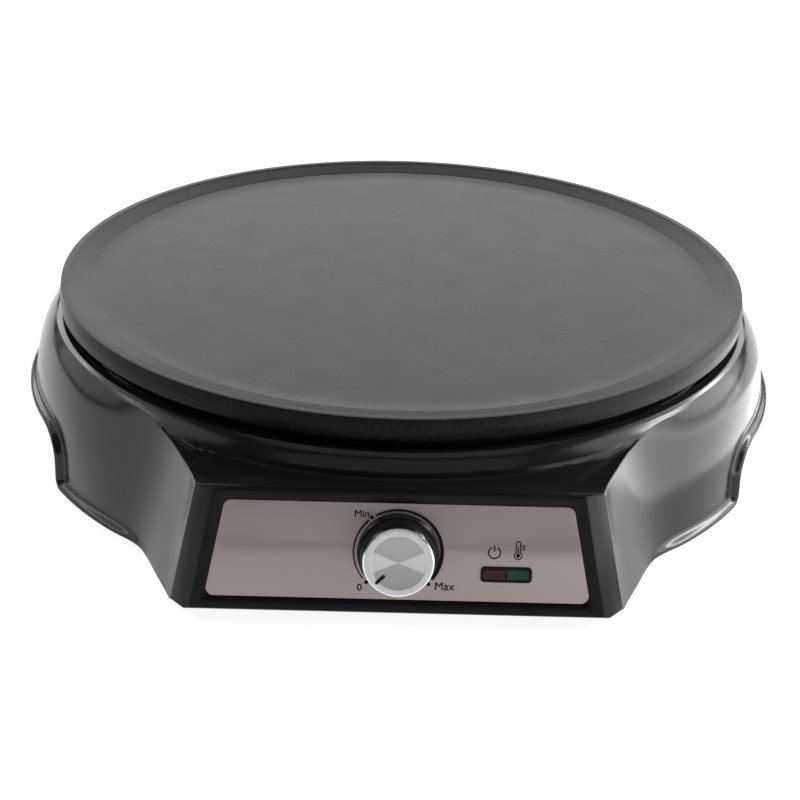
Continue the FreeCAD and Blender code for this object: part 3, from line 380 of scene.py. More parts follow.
def skirt_r(z):
    return smooth_interp(z, SK_Z, SK_R)


def crease(az):
    return smooth_interp(az, CR[:, 0], CR[:, 1]), smooth_interp(az, CR[:, 0], CR[:, 2])


def foot_r(az):
    return smooth_interp(az, BT[:, 0], BT[:, 1])


def wall_r(az, z):
    """Radius of the outer wall at an azimuth (right half, -65 .. 90) and a height."""
    rc, zc = crease(az)
    rb = foot_r(az)
    f = (zc - z) / (zc - 4.0)
    straight = rc + (rb - rc) * f
    sk = 153.7 + (161.2 - 153.7) * (57.6 - z) / 53.6
    bulge = (skirt_r(min(z, 57.6)) - sk) if z < 57.6 else 0.0
    w = sstep(az, -55.0, -30.0)
    return straight + w * bulge


def place(az, r, z):
    a = math.radians(az)
    return (r * math.cos(a), r * math.sin(a), z)


# line of the wall's lower edge, from the box corner to the rear centre: (girth angle, height)
GRIP_Z = 28.6


def edge_line():
    pts = []

    def side(sign):
        out = [(sign * 23.4, GRIP_Z)]
        c = (23.4 * PER, GRIP_Z - 14.0)
        for k in range(1, 13):
            t = math.radians(90 - 90 * k / 12)
            out.append((sign * (c[0] + 14.0 * math.cos(t)) / PER, c[1] + 14.0 * math.sin(t)))
        x = c[0] + 14.0
        for z in (12.5, 10.5, 8.6):
            out.append((sign * x / PER, z))
        for k in range(1, 9):
            t = math.radians(180 + 90 * k / 8)
            out.append((sign * (x + 4.4 + 4.4 * math.cos(t)) / PER, 8.4 + 4.4 * math.sin(t)))
        return out
    front = side(-1.0)[::-1]
    rear = side(1.0)
    n = 22
    for k in range(n):
        a = AZ_B + (front[0][0] - AZ_B) * (k / n)
        pts.append((a, 4.0))
    pts += front
    for k in range(1, 16):
        pts.append((-23.4 + 46.8 * k / 16, GRIP_Z))
    pts += rear
    for k in range(1, 23):
        pts.append((rear[-1][0] + (90.0 - rear[-1][0]) * k / 22, 4.0))
    return pts


EDGE = edge_line()
# finer spacing just behind the box corner
extra = [(AZ_B + d, 4.0) for d in (0.15, 0.4, 0.8)]
EDGE = [EDGE[0]] + extra + [p for p in EDGE[1:] if p[0] > AZ_B + 1.0]

ring_head = [(146.6, 58.4), (146.6, 60.1), (146.85, 60.5), (147.3, 60.7), (149.9, 60.7), (150.5, 60.55), (151.1, 60.1)]
N_TOP, N_WALL = 30, 26


def resample(P, n):
    P = np.array(P, float)
    d = np.r_[0, np.cumsum(np.linalg.norm(np.diff(P, axis=0), axis=1))]
    t = np.linspace(0, d[-1], n)
    return np.c_[np.interp(t, d, P[:, 0]), np.interp(t, d, P[:, 1])]


def band(rc, zc):
    """From the ring's edge to the crease in the (radius, height) plane of one azimuth."""
    if rc < 156.4:
        pts = [(151.1, 60.1)]
        for z in np.linspace(59.6, zc + 0.4, 8):
            pts.append((skirt_r(z), z))
        pts.append((rc, zc))
        pts = [p for i, p in enumerate(pts) if i == 0 or p[0] > pts[i - 1][0] - 5]
        return resample(pts, N_TOP)
    pts = [(151.1, 60.1)]
    for z in (59.2, 58.2, 57.2, 56.2, 55.3):
        pts.append((skirt_r(z), z))
    span = rc - 156.0
    low = min(51.2, zc - 0.9)
    k = min(1.0, span / 8.0)
    low = 54.2 + (low - 54.2) * k
    drop = 54.4 - low
    pts += [(156.0, 54.4), (156.1 + 0.01 * span, 54.4 - 0.3 * drop), (156.3 + 0.02 * span, 54.4 - 0.72 * drop), (156.8 + 0.06 * span, low + 0.12 * k),
            (156.0 + 0.36 * span, low), (156.0 + 0.62 * span, low + (zc - low) * 0.25), (156.0 + 0.84 * span, low + (zc - low) * 0.68), (rc, zc)]
    dense = []
    P = np.array(pts)
    d = np.r_[0, np.cumsum(np.linalg.norm(np.diff(P, axis=0), axis=1))]
    for t in np.linspace(0, d[-1], 90):
        dense.append((smooth_interp(t, d, P[:, 0]), smooth_interp(t, d, P[:, 1])))
    return resample(dense, N_TOP)


def corner_blend(p0, c, p1, n=4):
    """Small round between two directions at c."""
    out = []
    for k in range(n + 1):
        t = k / n
        out.append(tuple((1 - t) ** 2 * np.array(p0) + 2 * t * (1 - t) * np.array(c) + t * t * np.array(p1)))
    return out


LIP = [(-3.8, 0.0), (-3.1, 0.25), (-2.5, 0.75), (-1.95, 1.55), (-1.45, 2.35), (-0.9, 2.95), (-0.35, 3.25), (0.1, 3.2),
       (0.32, 2.85), (0.3, 2.4), (0.12, 1.5), (-0.1, 0.2), (-0.2, -1.0), (-0.2, -2.2)]


def top_column(az, rc, zc):
    head = [place(az, r, z) for r, z in ring_head[:-1]]
    b = [place(az, r, z) for r, z in band(rc, zc)]
    return head + b


def column(i):
    ab, zb = EDGE[i]
    # azimuth at the crease for this column of the wall
    at = AZ_TOP[i]
    rc, zc = crease(at)
    top = top_column(at, rc, zc)
    prev, nxt = EDGE[max(i - 1, 0)], EDGE[min(i + 1, len(EDGE) - 1)]
    tl, tz = (nxt[0] - prev[0]) * PER, nxt[1] - prev[1]
    n = math.hypot(tl, tz)
    tl, tz = tl / n, tz / n
    # away from the wall across its edge: below it on a level stretch
    ox, oz = (tz, -tl)
    amp = LIP_AMP(ab, zb)
    wall = []
    s_end = (ab + (-3.8) * ox / PER, zb + (-3.8) * oz)
    for k in range(N_WALL):
        f = k / (N_WALL - 1)
        a = at + (s_end[0] - at) * f
        z = zc + (s_end[1] - zc) * f
        wall.append((a, z))
    T3, B3 = np.array(place(at, rc, zc)), np.array(place(ab, foot_r(ab), 4.0))
    ruled = ab < -50.0

    def surf(a, z, out=0.0):
        """Point of the wall's outer face, moved outwards by out."""
        if not ruled:
            return place(a, wall_r(a, z) + out, z)
        q = T3 + (B3 - T3) * (zc - z) / (zc - 4.0)
        rad = math.hypot(q[0], q[1])
        az_ = math.degrees(math.atan2(q[1], q[0]))
        sk = 153.7 + (161.2 - 153.7) * (57.6 - z) / 53.6
        bulge = (skirt_r(min(z, 57.6)) - sk) if z < 57.6 else 0.0
        k_ = (rad + out + sstep(az_, -55.0, -30.0) * bulge) / rad
        return (q[0] * k_, q[1] * k_, z)
    wall3 = [surf(a, z) for a, z in wall]
    lip3 = []
    for t, h in LIP[1:]:
        a, z = ab + t * ox / PER, zb + t * oz
        hh = h * amp if h > 0 else h
        lip3.append(surf(a, z, hh))
    inner = []
    for k in range(12):
        f = 1 - k / 11
        a = at + (s_end[0] - at) * f
        z = zc - 2.6 + (s_end[1] - zc + 2.6) * f
        inner.append(surf(a, z, -WALL))
    # crease softened
    C = np.array(top[-1])
    d1 = np.array(top[-2]) - C
    d2 = np.array(wall3[1]) - C
    rho = 0.75
    p0 = C + d1 / np.linalg.norm(d1) * min(rho, np.linalg.norm(d1) * 0.9)
    p1 = C + d2 / np.linalg.norm(d2) * rho
    cb = corner_blend(p0, C, p1)
    under = []
    bb = band(rc, zc)
    pts = resample([(146.8, 57.2), (149.2, 56.9), (min(151.4, rc - 3.0), 54.9 if rc < 156.4 else 53.4), (max(rc - 3.2, 150.6), zc - 2.7)], 8)
    for r, z in pts[::-1]:
        under.append(place(at, r, z))
    return top[:-1], cb, wall3[1:], lip3, inner, under


def LIP_AMP(az, z):
    return sstep(az, -53.0, -44.0)


# azimuths of the crease for every wall column, spread by the edge line's length
s = [0.0]
for p, q in zip(EDGE[:-1], EDGE[1:]):
    s.append(s[-1] + math.hypot((q[0] - p[0]) * PER, q[1] - p[1]))
AZ_TOP = []
for i, (a, z) in enumerate(EDGE):
    AZ_TOP.append(a)
# the stretches with a near-vertical edge get their crease points spread evenly
arr = np.array([p[0] for p in EDGE])
S = np.array(s)


def spread(lo, hi):
    idx = np.where((arr >= lo) & (arr <= hi))[0]
    i0, i1 = idx[0], idx[-1]
    for i in range(i0, i1 + 1):
        AZ_TOP[i] = arr[i0] + (arr[i1] - arr[i0]) * (S[i] - S[i0]) / (S[i1] - S[i0])


spread(-34.0, -20.0)
spread(20.0, 34.0)
for i, (a, z) in enumerate(EDGE):
    if a < -50.0:
        f = (a - AZ_B) / (-50.0 - AZ_B)
        AZ_TOP[i] = AZ_T + (-50.0 - AZ_T) * f

cols = [column(i) for i in range(len(EDGE))]
# front columns, from the centre to the corner: only the top of the box
front = []
FRONT_Y, FRONT_Z = CORNER_T[1], CORNER_T[2]
NF = 30
for k in range(NF):
    f = k / NF
    az = -90.0 + (AZ_T + 90.0) * f
    rc = abs(FRONT_Y) / abs(math.sin(math.radians(az)))
    front.append((az, rc))

V, F = [], []


def put(P):
    i = len(V)
    V.extend([tuple(p) for p in P])
    return list(range(i, i + len(P)))


def mirror(P):
    return [(-x, y, z) for x, y, z in P]


def front_parts(az, rc):
    top = top_column(az, rc, FRONT_Z)
    C = np.array(top[-1])
    d1 = np.array(top[-2]) - C
    p0 = C + d1 / np.linalg.norm(d1) * 0.9
    down = C + np.array([0, -0.15, -0.85])
    cb = corner_blend(p0, C, down)
    pts = resample([(146.8, 57.2), (149.2, 56.9), (151.4, 53.4), (rc - 0.4, FRONT_Z - 2.4)], 8)
    under = [place(az, r, z) for r, z in pts[::-1]]
    return top[:-1], cb, under


# right half indices
def build_half(mir):
    tx = mirror if mir else (lambda P: P)
    fr = []
    for az, rc in front:
        t, cb, un = front_parts(az, rc)
        fr.append((put(tx(t)), put(tx(cb)), put(tx(un))))
    sd = []
    for t, cb, w, lp, inn, un in cols:
        sd.append((put(tx(t)), put(tx(cb)), put(tx(w)), put(tx(lp)), put(tx(inn)), put(tx(un))))
    return fr, sd


def strip(a, b, flip):
    for k in range(len(a) - 1):
        q = (a[k], a[k + 1], b[k + 1], b[k])
        F.append(q[::-1] if flip else q)


def join_half(fr, sd, flip):
    for c0, c1 in zip(fr[:-1], fr[1:]):
        a = c0[0] + c0[1] + c0[2]
        b = c1[0] + c1[1] + c1[2]
        strip(a + [a[0]], b + [b[0]], flip)
    # last front column to the corner column
    c0, c1 = fr[-1], sd[0]
    a = c0[0] + c0[1]
    b = c1[0] + c1[1]
    strip(a, b, flip)
    a2 = c0[2] + [c0[0][0]]
    b2 = c1[5] + [c1[0][0]]
    strip(a2, b2, flip)
    q = (a[-1], b[-1], b2[0], a2[0])
    F.append(q if flip else q[::-1])
    for c0, c1 in zip(sd[:-1], sd[1:]):
        a = sum((c0[k] for k in range(6)), [])
        b = sum((c1[k] for k in range(6)), [])
        strip(a + [a[0]], b + [b[0]], flip)
    # closed end of the wall at the corner
    c = sd[0]
    loop = [c[1][-1]] + c[2] + c[3] + c[4] + [c[5][0]]
    F.append(tuple(loop if flip else loop[::-1]))


frR, sdR = build_half(False)
frL, sdL = build_half(True)
join_half(frR, sdR, False)
join_half(frL, sdL, True)
shell = add_mesh("housing_shell", V, F, M_BODY, None, 38.0)
import bmesh
bm = bmesh.new()
bm.from_mesh(shell.data)
bmesh.ops.remove_doubles(bm, verts=bm.verts, dist=1e-6)
bmesh.ops.recalc_face_normals(bm, faces=bm.faces)
bad = sum(1 for e in bm.edges if len(e.link_faces) != 2)
print("housing open or odd edges", bad, "faces", len(bm.faces))
bm.to_mesh(shell.data)
bm.free()
shell.data.update()
shell.data.shade_smooth()
shell.data.set_sharp_from_angle(angle=math.radians(38.0))
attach(shell, BASE)
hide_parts("body_shell")

# ------------------------------------------------------------------ panel frame
LEAN = math.radians(10.0)
PANEL = Matrix.Translation((0, -170.0, 54.0)) @ Matrix.Rotation(math.radians(80.0), 4, "X")


def trap(ht, hb, yt, yb, z, r, n=4):
    P = rounded([(-hb, yb), (hb, yb), (ht, yt), (-ht, yt)], r, n)
    return [(x, y, z) for x, y in P]


def trap2(ht, hb, yt, yb, zt, zb, r, n=4):
    """Outline whose depth runs from zt along its top to zb along its foot."""
    P = rounded([(-hb, yb), (hb, yb), (ht, yt), (-ht, yt)], r, n)
    return [(x, y, zb + (zt - zb) * (y - yb) / (yt - yb)) for x, y in P]


panel = loops_mesh("control_panel_moulding", [
    trap2(66.0, 74.6, -3.2, -46.6, -2.7, -2.7, 1.2), trap2(72.0, 81.6, -3.2, -46.9, -4.9, -8.2, 1.2), trap2(75.6, 85.2, -3.0, -47.6, -5.0, -9.7, 1.2),
    trap2(77.5, 87.55, -0.95, -49.05, -4.95, -9.9, 0.5), trap2(77.35, 87.45, -0.88, -49.15, -4.75, -9.6, 0.5), trap2(73.1, 82.9, -0.55, -50.0, -2.05, -3.9, 0.5),
    trap2(72.6, 82.4, -0.52, -50.2, -1.75, -3.42, 0.5), trap(70.5, 79.9, -0.42, -48.75, -0.28, 0.5), trap(70.1, 79.45, -0.55, -48.45, -0.05, 0.5),
    trap(69.7, 79.0, -0.85, -48.1, 0.0, 0.5),
    trap(66.75, 74.65, -4.3, -44.05, 0.0, 3.2), trap(66.5, 74.4, -4.5, -43.85, -0.12, 3.1), trap(66.4, 74.3, -4.55, -43.8, -0.4, 3.0),
    trap(66.4, 74.3, -4.55, -43.8, -0.75, 3.0)], M_PANEL, BASE, PANEL)
M_CHAMFER = moulded("panel_chamfer", (0.005, 0.005, 0.005), (0.007, 0.007, 0.007), (0.28, 0.36), 0.16, grain=0.03)
panel.data.materials.append(M_CHAMFER)
for f_ in panel.data.polygons:
    if 0.3 < abs(f_.normal.x) < 0.97 and f_.normal.y < 0:
        f_.material_index = 1
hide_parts("control_panel")

fascia = loops_mesh("fascia_sheet", [
    trap(66.05, 73.85, -4.85, -43.5, -0.70, 3.0, 8), trap(66.05, 73.85, -4.85, -43.5, -0.36, 3.0, 8),
    trap(65.98, 73.78, -4.92, -43.43, -0.24, 2.95, 8), trap(65.8, 73.6, -5.1, -43.25, -0.20, 2.8, 8)], M_STEEL, BASE, PANEL)
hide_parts("steel_fascia")

# ------------------------------------------------------------------ rotary control
KC = -24.4
KN = PANEL @ Matrix.Translation((0, KC, 0))
prof = rounded([(0, 9.9), (4.0, 9.9), (4.0, 11.1), (13.3, 11.1), (14.0, 9.8), (14.75, 2.6), (15.7, 1.5), (15.7, 0.4), (13.0, 0.4), (13.0, 7.6), (5.0, 7.6), (5.0, 0.9),
                (3.05, 0.9), (3.05, 7.4), (0, 7.4)], [0, 0.1, 0.1, 0.4, 0.8, 1.2, 0.3, 0.2, 0.2, 0.3, 0.3, 0.2, 0.1, 0.1, 0], 4, closed=False)
kb = lathe("knob_moulding", prof, 128, M_KNOB, KNOB, KN)
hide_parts("knob_body")


def cap_mat():
    """Turned aluminium: fine rings, and the radial gleam of a spun face painted into the colour as paler sectors."""
    m, nt, b = material("cap_turned")
    tc = nt.nodes.new("ShaderNodeTexCoord")
    sep = nt.nodes.new("ShaderNodeSeparateXYZ")
    nt.links.new(tc.outputs["Object"], sep.inputs[0])
    at = nt.nodes.new("ShaderNodeMath")
    at.operation = "ARCTAN2"
    nt.links.new(sep.outputs[1], at.inputs[0])
    nt.links.new(sep.outputs[0], at.inputs[1])
    # streaks that depend on the angle only, and a painted highlight: sectors paler left and right where a spun face's
    # gleam falls, darker above and below
    cmb = nt.nodes.new("ShaderNodeCombineXYZ")
    nt.links.new(at.outputs[0], cmb.inputs[0])
    n = noise(nt, cmb.outputs[0], 14.0, 6.0, 0.6)
    fine = ramp(nt, n, [(0.3, (0.93, 0.93, 0.93)), (0.7, (1.0, 1.0, 1.0))])
    sn = nt.nodes.new("ShaderNodeMath")
    sn.operation = "SINE"
    nt.links.new(at.outputs[0], sn.inputs[0])
    ab = nt.nodes.new("ShaderNodeMath")
    ab.operation = "ABSOLUTE"
    nt.links.new(sn.outputs[0], ab.inputs[0])
    # painted highlight wedges: base colour lighter where |sin(angle)| is small (left and right), darker above and
    # below
    painted_sheen_sectors = ramp(nt, ab.outputs[0], [(0.34, (0.47, 0.475, 0.48)), (0.44, (0.30, 0.303, 0.308)), (1.0, (0.34, 0.344, 0.35))])
    mx = nt.nodes.new("ShaderNodeMix")
    mx.data_type = "RGBA"
    mx.blend_type = "MULTIPLY"
    mx.inputs[0].default_value = 1.0
    nt.links.new(painted_sheen_sectors, mx.inputs[6])
    nt.links.new(fine, mx.inputs[7])
    nt.links.new(mx.outputs[2], b.inputs["Base Color"])
    nt.links.new(ramp(nt, n, [(0.3, 0.27), (0.7, 0.33)]), b.inputs["Roughness"])
    b.inputs["Metallic"].default_value = 1.0
    b.inputs["Anisotropic"].default_value = 0.4
    b.inputs["Anisotropic Rotation"].default_value = 0.25
    tan = nt.nodes.new("ShaderNodeTangent")
    tan.direction_type = "RADIAL"
    tan.axis = "Z"
    nt.links.new(tan.outputs[0], b.inputs["Tangent"])
    return m


M_CAP = cap_mat()
M_CAPEDGE = moulded("cap_edge", (0.72, 0.73, 0.74), (0.84, 0.85, 0.86), (0.16, 0.24), 0.5, metal=1.0, scale=300.0)
M_CAPRING = moulded("cap_ring", (0.43, 0.435, 0.44), (0.49, 0.495, 0.50), (0.24, 0.32), 0.5, grain=0.02, metal=1.0, scale=300.0)


def local_piece(name, V_, F_, mat, body, matrix, angle=30.0, smooth=True):
    """Piece whose mesh stays in its own frame, in metres, carried by its object's matrix."""
    me = bpy.data.meshes.new(name)
    P = np.array(V_, float) * 1e-3
    me.from_pydata([tuple(p) for p in P], [], [tuple(int(i) for i in f) for f in F_])
    me.validate()
    me.update()
    if smooth:
        me.shade_smooth()
        me.set_sharp_from_angle(angle=math.radians(angle))
    me.materials.append(mat)
    ob = bpy.data.objects.new(name, me)
    bpy.context.scene.collection.objects.link(ob)
    M = matrix.copy()
    M.translation = Vector((M.translation.x, M.translation.y, M.translation.z - DATUM)) * 1e-3
    ob.matrix_world = M
    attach(ob, body)
    return ob


def lathe_data(prof, seg):
    V_, F_, idx = [], [], []
    for r, z in prof:
        if abs(r) < 1e-9:
            idx.append([len(V_)])
            V_.append((0, 0, z))
        else:
            idx.append(list(range(len(V_), len(V_) + seg)))
            V_ += [(r * math.cos(2 * math.pi * k / seg), r * math.sin(2 * math.pi * k / seg), z) for k in range(seg)]
    for a, b in zip(idx[:-1], idx[1:]):
        for k in range(seg):
            k2 = (k + 1) % seg
            if len(a) == 1:
                F_.append((a[0], b[k], b[k2]))
            elif len(b) == 1:
                F_.append((a[k], b[0], a[k2]))
            else:
                F_.append((a[k], b[k], b[k2], a[k2]))
    return V_, F_


prof = rounded([(0, 10.0), (3.9, 10.0), (3.9, 11.15), (13.3, 11.15), (13.5, 11.5), (13.5, 11.75), (12.95, 12.02), (10.6, 12.02), (10.45, 11.90), (0, 11.90)],
               [0, 0.1, 0.1, 0.15, 0.1, 0.1, 0.06, 0.03, 0.03, 0], 3, closed=False)
V_, F_ = lathe_data([tuple(p) for p in prof], 160)
cap = local_piece("knob_cap_turned", V_, F_, M_CAP, KNOB, KN, 18.0)
outward(cap)
cap.data.materials.append(M_CAPEDGE)
cap.data.materials.append(M_CAPRING)
for p in cap.data.polygons:
    c = p.center
    if math.hypot(c.x, c.y) > 0.01285 and c.z > 0.0112:
        p.material_index = 1
    elif math.hypot(c.x, c.y) > 0.01045 and c.z > 0.0112:
        p.material_index = 2
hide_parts("knob_cap")


def slab(P, z0, z1):
    n = len(P)
    V_ = [(x, y, z0) for x, y in P] + [(x, y, z1) for x, y in P]
    F_ = [tuple(range(n - 1, -1, -1)), tuple(range(n, 2 * n))]
    for k in range(n):
        k2 = (k + 1) % n
        F_.append((k, k2, n + k2, n + k))
    return V_, F_


# pointer, at the 0 mark
pa = math.radians(225.0)
bar = rounded([(7.1, -0.62), (11.9, -0.62), (11.9, 0.62), (7.1, 0.62)], 0.6, 6)
bar = [(x * math.cos(pa) - y * math.sin(pa), x * math.sin(pa) + y * math.cos(pa)) for x, y in bar]
V_, F_ = slab(bar, 11.85, 12.1)
pointer = local_piece("knob_pointer", V_, F_, M_PRINT, KNOB, KN)

# ------------------------------------------------------------------ indicator window
WX, WY = 41.3, -32.35


def rrect(cx, cy, w, h, r, z, n=5):
    P = rounded([(cx - w / 2, cy - h / 2), (cx + w / 2, cy - h / 2), (cx + w / 2, cy + h / 2), (cx - w / 2, cy + h / 2)], r, n)
    return [(x, y, z) for x, y in P]


def ring_piece(name, loops, mat, body, matrix):
    """Closed ring from loops that come back to the first."""
    V_, F_ = [], []
    n = len(loops[0])
    for lp in loops:
        V_.extend(lp)
    m = len(loops)
    for i in range(m):
        a, b = i * n, ((i + 1) % m) * n
        for k in range(n):
            k2 = (k + 1) % n
            F_.append((a + k, a + k2, b + k2, b + k))
    return outward(add_mesh(name, V_, F_, mat, body, 30.0, True, matrix))


fr_ = ring_piece("window_frame", [
    rrect(WX, WY, 19.6, 6.3, 1.6, -0.7), rrect(WX, WY, 19.6, 6.3, 1.6, 0.05), rrect(WX, WY, 19.3, 6.0, 1.45, 0.22), rrect(WX, WY, 18.9, 5.6, 1.3, 0.25),
    rrect(WX, WY, 17.7, 4.5, 0.9, 0.22), rrect(WX, WY, 17.5, 4.3, 0.8, 0.1), rrect(WX, WY, 17.5, 4.3, 0.8, -0.7)], M_PANEL, BASE, PANEL)
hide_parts("indicator_frame")
bar_ = loops_mesh("window_bar", [rrect(WX, WY, 0.5, 4.8, 0.1, -0.7, 2), rrect(WX, WY, 0.5, 4.8, 0.1, 0.12, 2), rrect(WX, WY, 0.36, 4.8, 0.08, 0.18, 2)], M_PANEL, BASE, PANEL)
for nm, c, mt, nd, sl in (("lens_red_piece", -4.48, M_RED, "power_lens", "red_lens"), ("lens_green_piece", 4.48, M_GREEN, "heat_lens", "green_lens")):
    o = loops_mesh(nm, [rrect(WX + c, WY, 8.45, 4.25, 0.6, -0.68), rrect(WX + c, WY, 8.45, 4.25, 0.6, -0.02), rrect(WX + c, WY, 8.15, 3.95, 0.55, 0.08),
                        rrect(WX + c, WY, 7.0, 3.3, 0.5, 0.10)], mt, BASE, PANEL)
    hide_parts(nd)

# ------------------------------------------------------------------ printed marks
INK = -0.2 + 0.015


def ink(name, polys):
    """Printed shapes: thin slabs from outlines, in one piece."""
    V_, F_ = [], []
    for P in polys:
        a, b = slab(P, INK - 0.02, INK + 0.02)
        k = len(V_)
        V_ += a
        F_ += [tuple(i + k for i in f) for f in b]
    o = add_mesh(name, V_, F_, M_PRINT, BASE, 30.0, True, PANEL)
    return outward(o)


def arc_band(cx, cy, a0, a1, r_out, w0, w1, n=72):
    """Arc band, clockwise from a0 to a1 in degrees, whose width grows from w0 to w1."""
    out, inn = [], []
    for k in range(n + 1):
        t = k / n
        a = math.radians(a0 + (a1 - a0) * t)
        w = w0 + (w1 - w0) * t
        out.append((cx + r_out * math.cos(a), cy + r_out * math.sin(a)))
        inn.append((cx + (r_out - w) * math.cos(a), cy + (r_out - w) * math.sin(a)))
    return out + inn[::-1]


def disc(cx, cy, r, n=24):
    return [(cx + r * math.cos(2 * math.pi * k / n), cy + r * math.sin(2 * math.pi * k / n)) for k in range(n)]


R_ARC = 17.35
polys = [arc_band(0, KC, 219.0, 132.5, R_ARC, 0.50, 0.80, 40), arc_band(0, KC, 121.5, -39.5, R_ARC, 0.85, 1.65, 90)]
for a in (225.8, 127.0, -46.8):
    polys.append(disc(17.2 * math.cos(math.radians(a)), KC + 17.2 * math.sin(math.radians(a)), 0.78))
ink("scale_print", polys)


def text_piece(name, words, x, y, size, align="CENTER"):
    cu = bpy.data.curves.new(name, "FONT")
    cu.body = words
    cu.size = size
    cu.align_x = align
    cu.align_y = "CENTER"
    cu.extrude = 0.02
    cu.resolution_u = 6
    tmp = bpy.data.objects.new(name + "_tmp", cu)
    bpy.context.scene.collection.objects.link(tmp)
    bpy.context.view_layer.update()
    dg = bpy.context.evaluated_depsgraph_get()
    me = bpy.data.meshes.new_from_object(tmp.evaluated_get(dg))
    bpy.data.objects.remove(tmp)
    # heavier strokes: each outline point moves out along the sides that meet there
    out = {}
    for p in me.polygons:
        if abs(p.normal.z) < 0.5:
            for i in p.vertices:
                k = (round(me.vertices[i].co.x, 4), round(me.vertices[i].co.y, 4))
                a, b = out.get(k, (0.0, 0.0))
                out[k] = (a + p.normal.x, b + p.normal.y)
    P = []
    for v in me.vertices:
        a, b = out.get((round(v.co.x, 4), round(v.co.y, 4)), (0.0, 0.0))
        r = math.hypot(a, b)
        s = 0.07 / r if r > 1e-6 else 0.0
        P.append((v.co.x + a * s + x, v.co.y + b * s + y, v.co.z + INK))
    F_ = [tuple(p.vertices) for p in me.polygons]
    o = add_mesh(name, P, F_, M_PRINT, BASE, 30.0, True, PANEL)
    bpy.data.meshes.remove(me)
    return o


text_piece("mark_min", "Min", -14.1, -9.4, 4.0)
text_piece("mark_zero", "0", -14.5, -39.0, 4.0)
text_piece("mark_max", "Max", 17.9, -37.8, 4.5)
# power sign
px, py, pr = 36.5, -23.6, 2.25
ink("power_print", [arc_band(px, py, 62.0, -242.0, pr + 0.3, 0.55, 0.55, 60), [(px - 0.27, py + 0.6), (px + 0.27, py + 0.6), (px + 0.27, py + 2.9), (px - 0.27, py + 2.9)]])
# thermometer sign
tx_, ty_ = 45.5, -22.4


def outline(P, w):
    """Line of width w along a closed outline."""
    P = [np.array(p) for p in P]
    n = len(P)
    quads = []
    for i in range(n):
        a, b = P[i], P[(i + 1) % n]
        d = b - a
        L = np.linalg.norm(d)
        if L < 1e-9:
            continue
        d /= L
        nn = np.array([-d[1], d[0]]) * w / 2
        e = d * w * 0.25
        quads.append([tuple(a - nn - e), tuple(b - nn + e), tuple(b + nn + e), tuple(a + nn - e)])
    return quads


stem = []
for k in range(9):
    a = math.radians(180 - 180 * k / 8)
    stem.append((tx_ + 0.85 * math.cos(a), ty_ + 2.6 + 0.85 * math.sin(a)))
for k in range(17):
    a = math.radians(55 - 290 * k / 16)
    stem.append((tx_ + 1.45 * math.cos(a), ty_ - 2.2 + 1.45 * math.sin(a)))
th = outline(stem, 0.46) + [disc(tx_, ty_ - 2.2, 0.78), [(tx_ - 0.25, ty_ - 2.2), (tx_ + 0.25, ty_ - 2.2), (tx_ + 0.25, ty_ + 1.2), (tx_ - 0.25, ty_ + 1.2)]]
for k in range(4):
    y = ty_ + 2.0 - 0.62 * k
    th.append([(tx_ + 1.3, y - 0.17), (tx_ + 2.6, y - 0.17), (tx_ + 2.6, y + 0.17), (tx_ + 1.3, y + 0.17)])
ink("thermometer_print", th)

# ------------------------------------------------------------------ stage, light, camera
floor_m, nt_, b_ = material("floor_paper")
nt_.links.new(ramp(nt_, noise(nt_, coords(nt_), 3.0), [(0.3, (0.36, 0.36, 0.36)), (0.7, (0.38, 0.38, 0.38))]), b_.inputs["Base Color"])
b_.inputs["Roughness"].default_value = 0.9
b_.inputs["Specular IOR Level"].default_value = 0.1
b_.inputs["Emission Color"].default_value = (1, 1, 1, 1)
b_.inputs["Emission Strength"].default_value = 0.90
fl = bpy.data.meshes.new("studio_floor")
S_ = 6.0
fl.from_pydata([(-S_, -S_, -DATUM * 1e-3), (S_, -S_, -DATUM * 1e-3), (S_, S_, -DATUM * 1e-3), (-S_, S_, -DATUM * 1e-3)], [], [(0, 1, 2, 3)])
fl.materials.append(floor_m)
floor = bpy.data.objects.new("studio_floor", fl)
bpy.context.scene.collection.objects.link(floor)

world = bpy.data.worlds.new("studio")
bpy.context.scene.world = world
world.use_nodes = True
bg = world.node_tree.nodes["Background"]
bg.inputs[0].default_value = (1, 1, 1, 1)
bg.inputs[1].default_value = 0.05


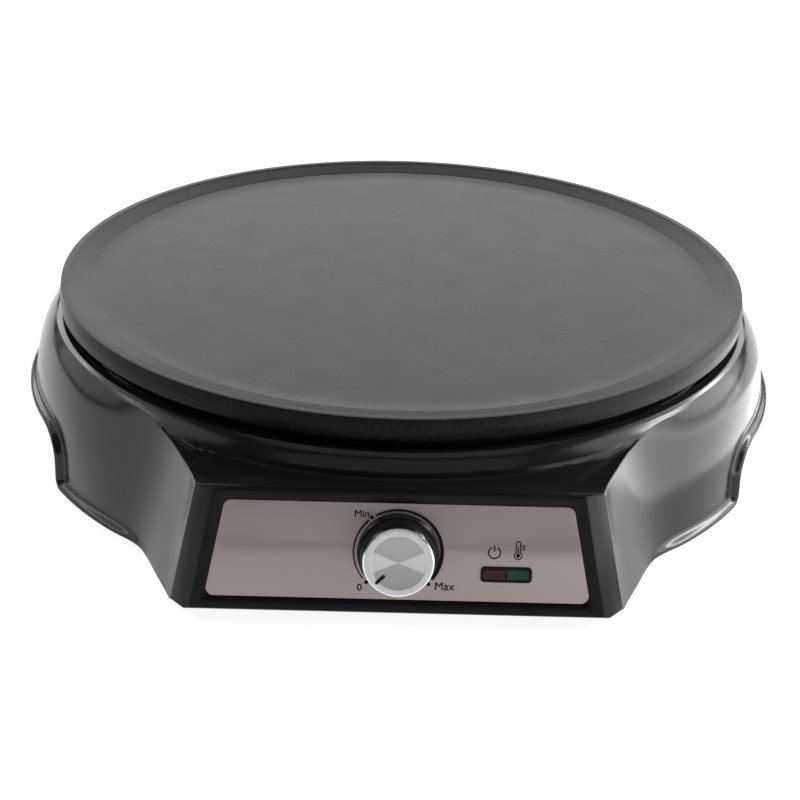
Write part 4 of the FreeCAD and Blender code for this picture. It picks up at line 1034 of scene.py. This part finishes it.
def area(name, loc, target, size, level, size_y=None):
    """Soft light whose brightness is level, whatever its size."""
    L = bpy.data.lights.new(name, "AREA")
    L.shape = "RECTANGLE"
    L.size, L.size_y = size, size_y or size
    L.energy = level * math.pi * L.size * L.size_y
    o = bpy.data.objects.new(name, L)
    o.location = loc
    o.rotation_euler = (Vector(target) - Vector(loc)).to_track_quat("-Z", "Y").to_euler()
    o.visible_camera = False
    bpy.context.scene.collection.objects.link(o)
    return o


area("back_softbox", (0.0, 1.5, 0.72), (0, 0.0, 0.0), 3.4, 3.1, 1.0)
area("top_softbox", (0.0, -0.1, 1.5), (0, 0, 0), 1.6, 0.45, 1.2)
area("right_softbox", (1.3, 0.20, 0.62), (0.1, -0.05, -0.03), 1.8, 2.3, 1.2)
area("left_softbox", (-1.3, 0.20, 0.62), (0, 0, 0), 1.8, 1.0, 1.2)
area("left_strip", (-1.2, 0.35, 0.72), (0, 0, 0), 1.1, 3.5, 0.10)
area("right_strip", (1.2, 0.35, 0.72), (0, 0, 0), 1.1, 16.0, 0.20)
area("front_fill", (0.0, -1.5, 1.2), (0, 0, 0), 2.4, 0.34, 1.0)
area("right_card", (0.42, -0.2, 0.03), (0.0, -0.2, 0.03), 0.7, 1.9, 0.19)
area("right_low_card", (0.405, -0.205, -0.0700), (0.405, -0.205, 1.0), 0.43, 2.3, 0.59)

CAM = {"f": 2200.0, "ypr": (0.59, 25.4, 1.70), "pos": (-8.6, -903.4, 366.3)}
cam_data = bpy.data.cameras.new("photo_camera")
cam_data.sensor_width = 36.0
cam_data.lens = 36.0 * CAM["f"] / 800.0
cam_data.clip_start = 0.01
cam = bpy.data.objects.new("photo_camera", cam_data)
yw, pt, rl = (math.radians(a) for a in CAM["ypr"])
fwd = Vector((math.sin(yw) * math.cos(pt), math.cos(yw) * math.cos(pt), -math.sin(pt)))
right = Vector((math.cos(yw), -math.sin(yw), 0))
up = right.cross(fwd)
r2 = math.cos(rl) * right + math.sin(rl) * up
u2 = -math.sin(rl) * right + math.cos(rl) * up
p = Vector(CAM["pos"]) * 1e-3 + Vector((0, 0, 0.003))
cam.matrix_world = Matrix(((r2.x, u2.x, -fwd.x, p.x), (r2.y, u2.y, -fwd.y, p.y), (r2.z, u2.z, -fwd.z, p.z), (0, 0, 0, 1)))
bpy.context.scene.collection.objects.link(cam)
bpy.context.scene.camera = cam
bpy.context.scene.view_settings.view_transform = "Standard"
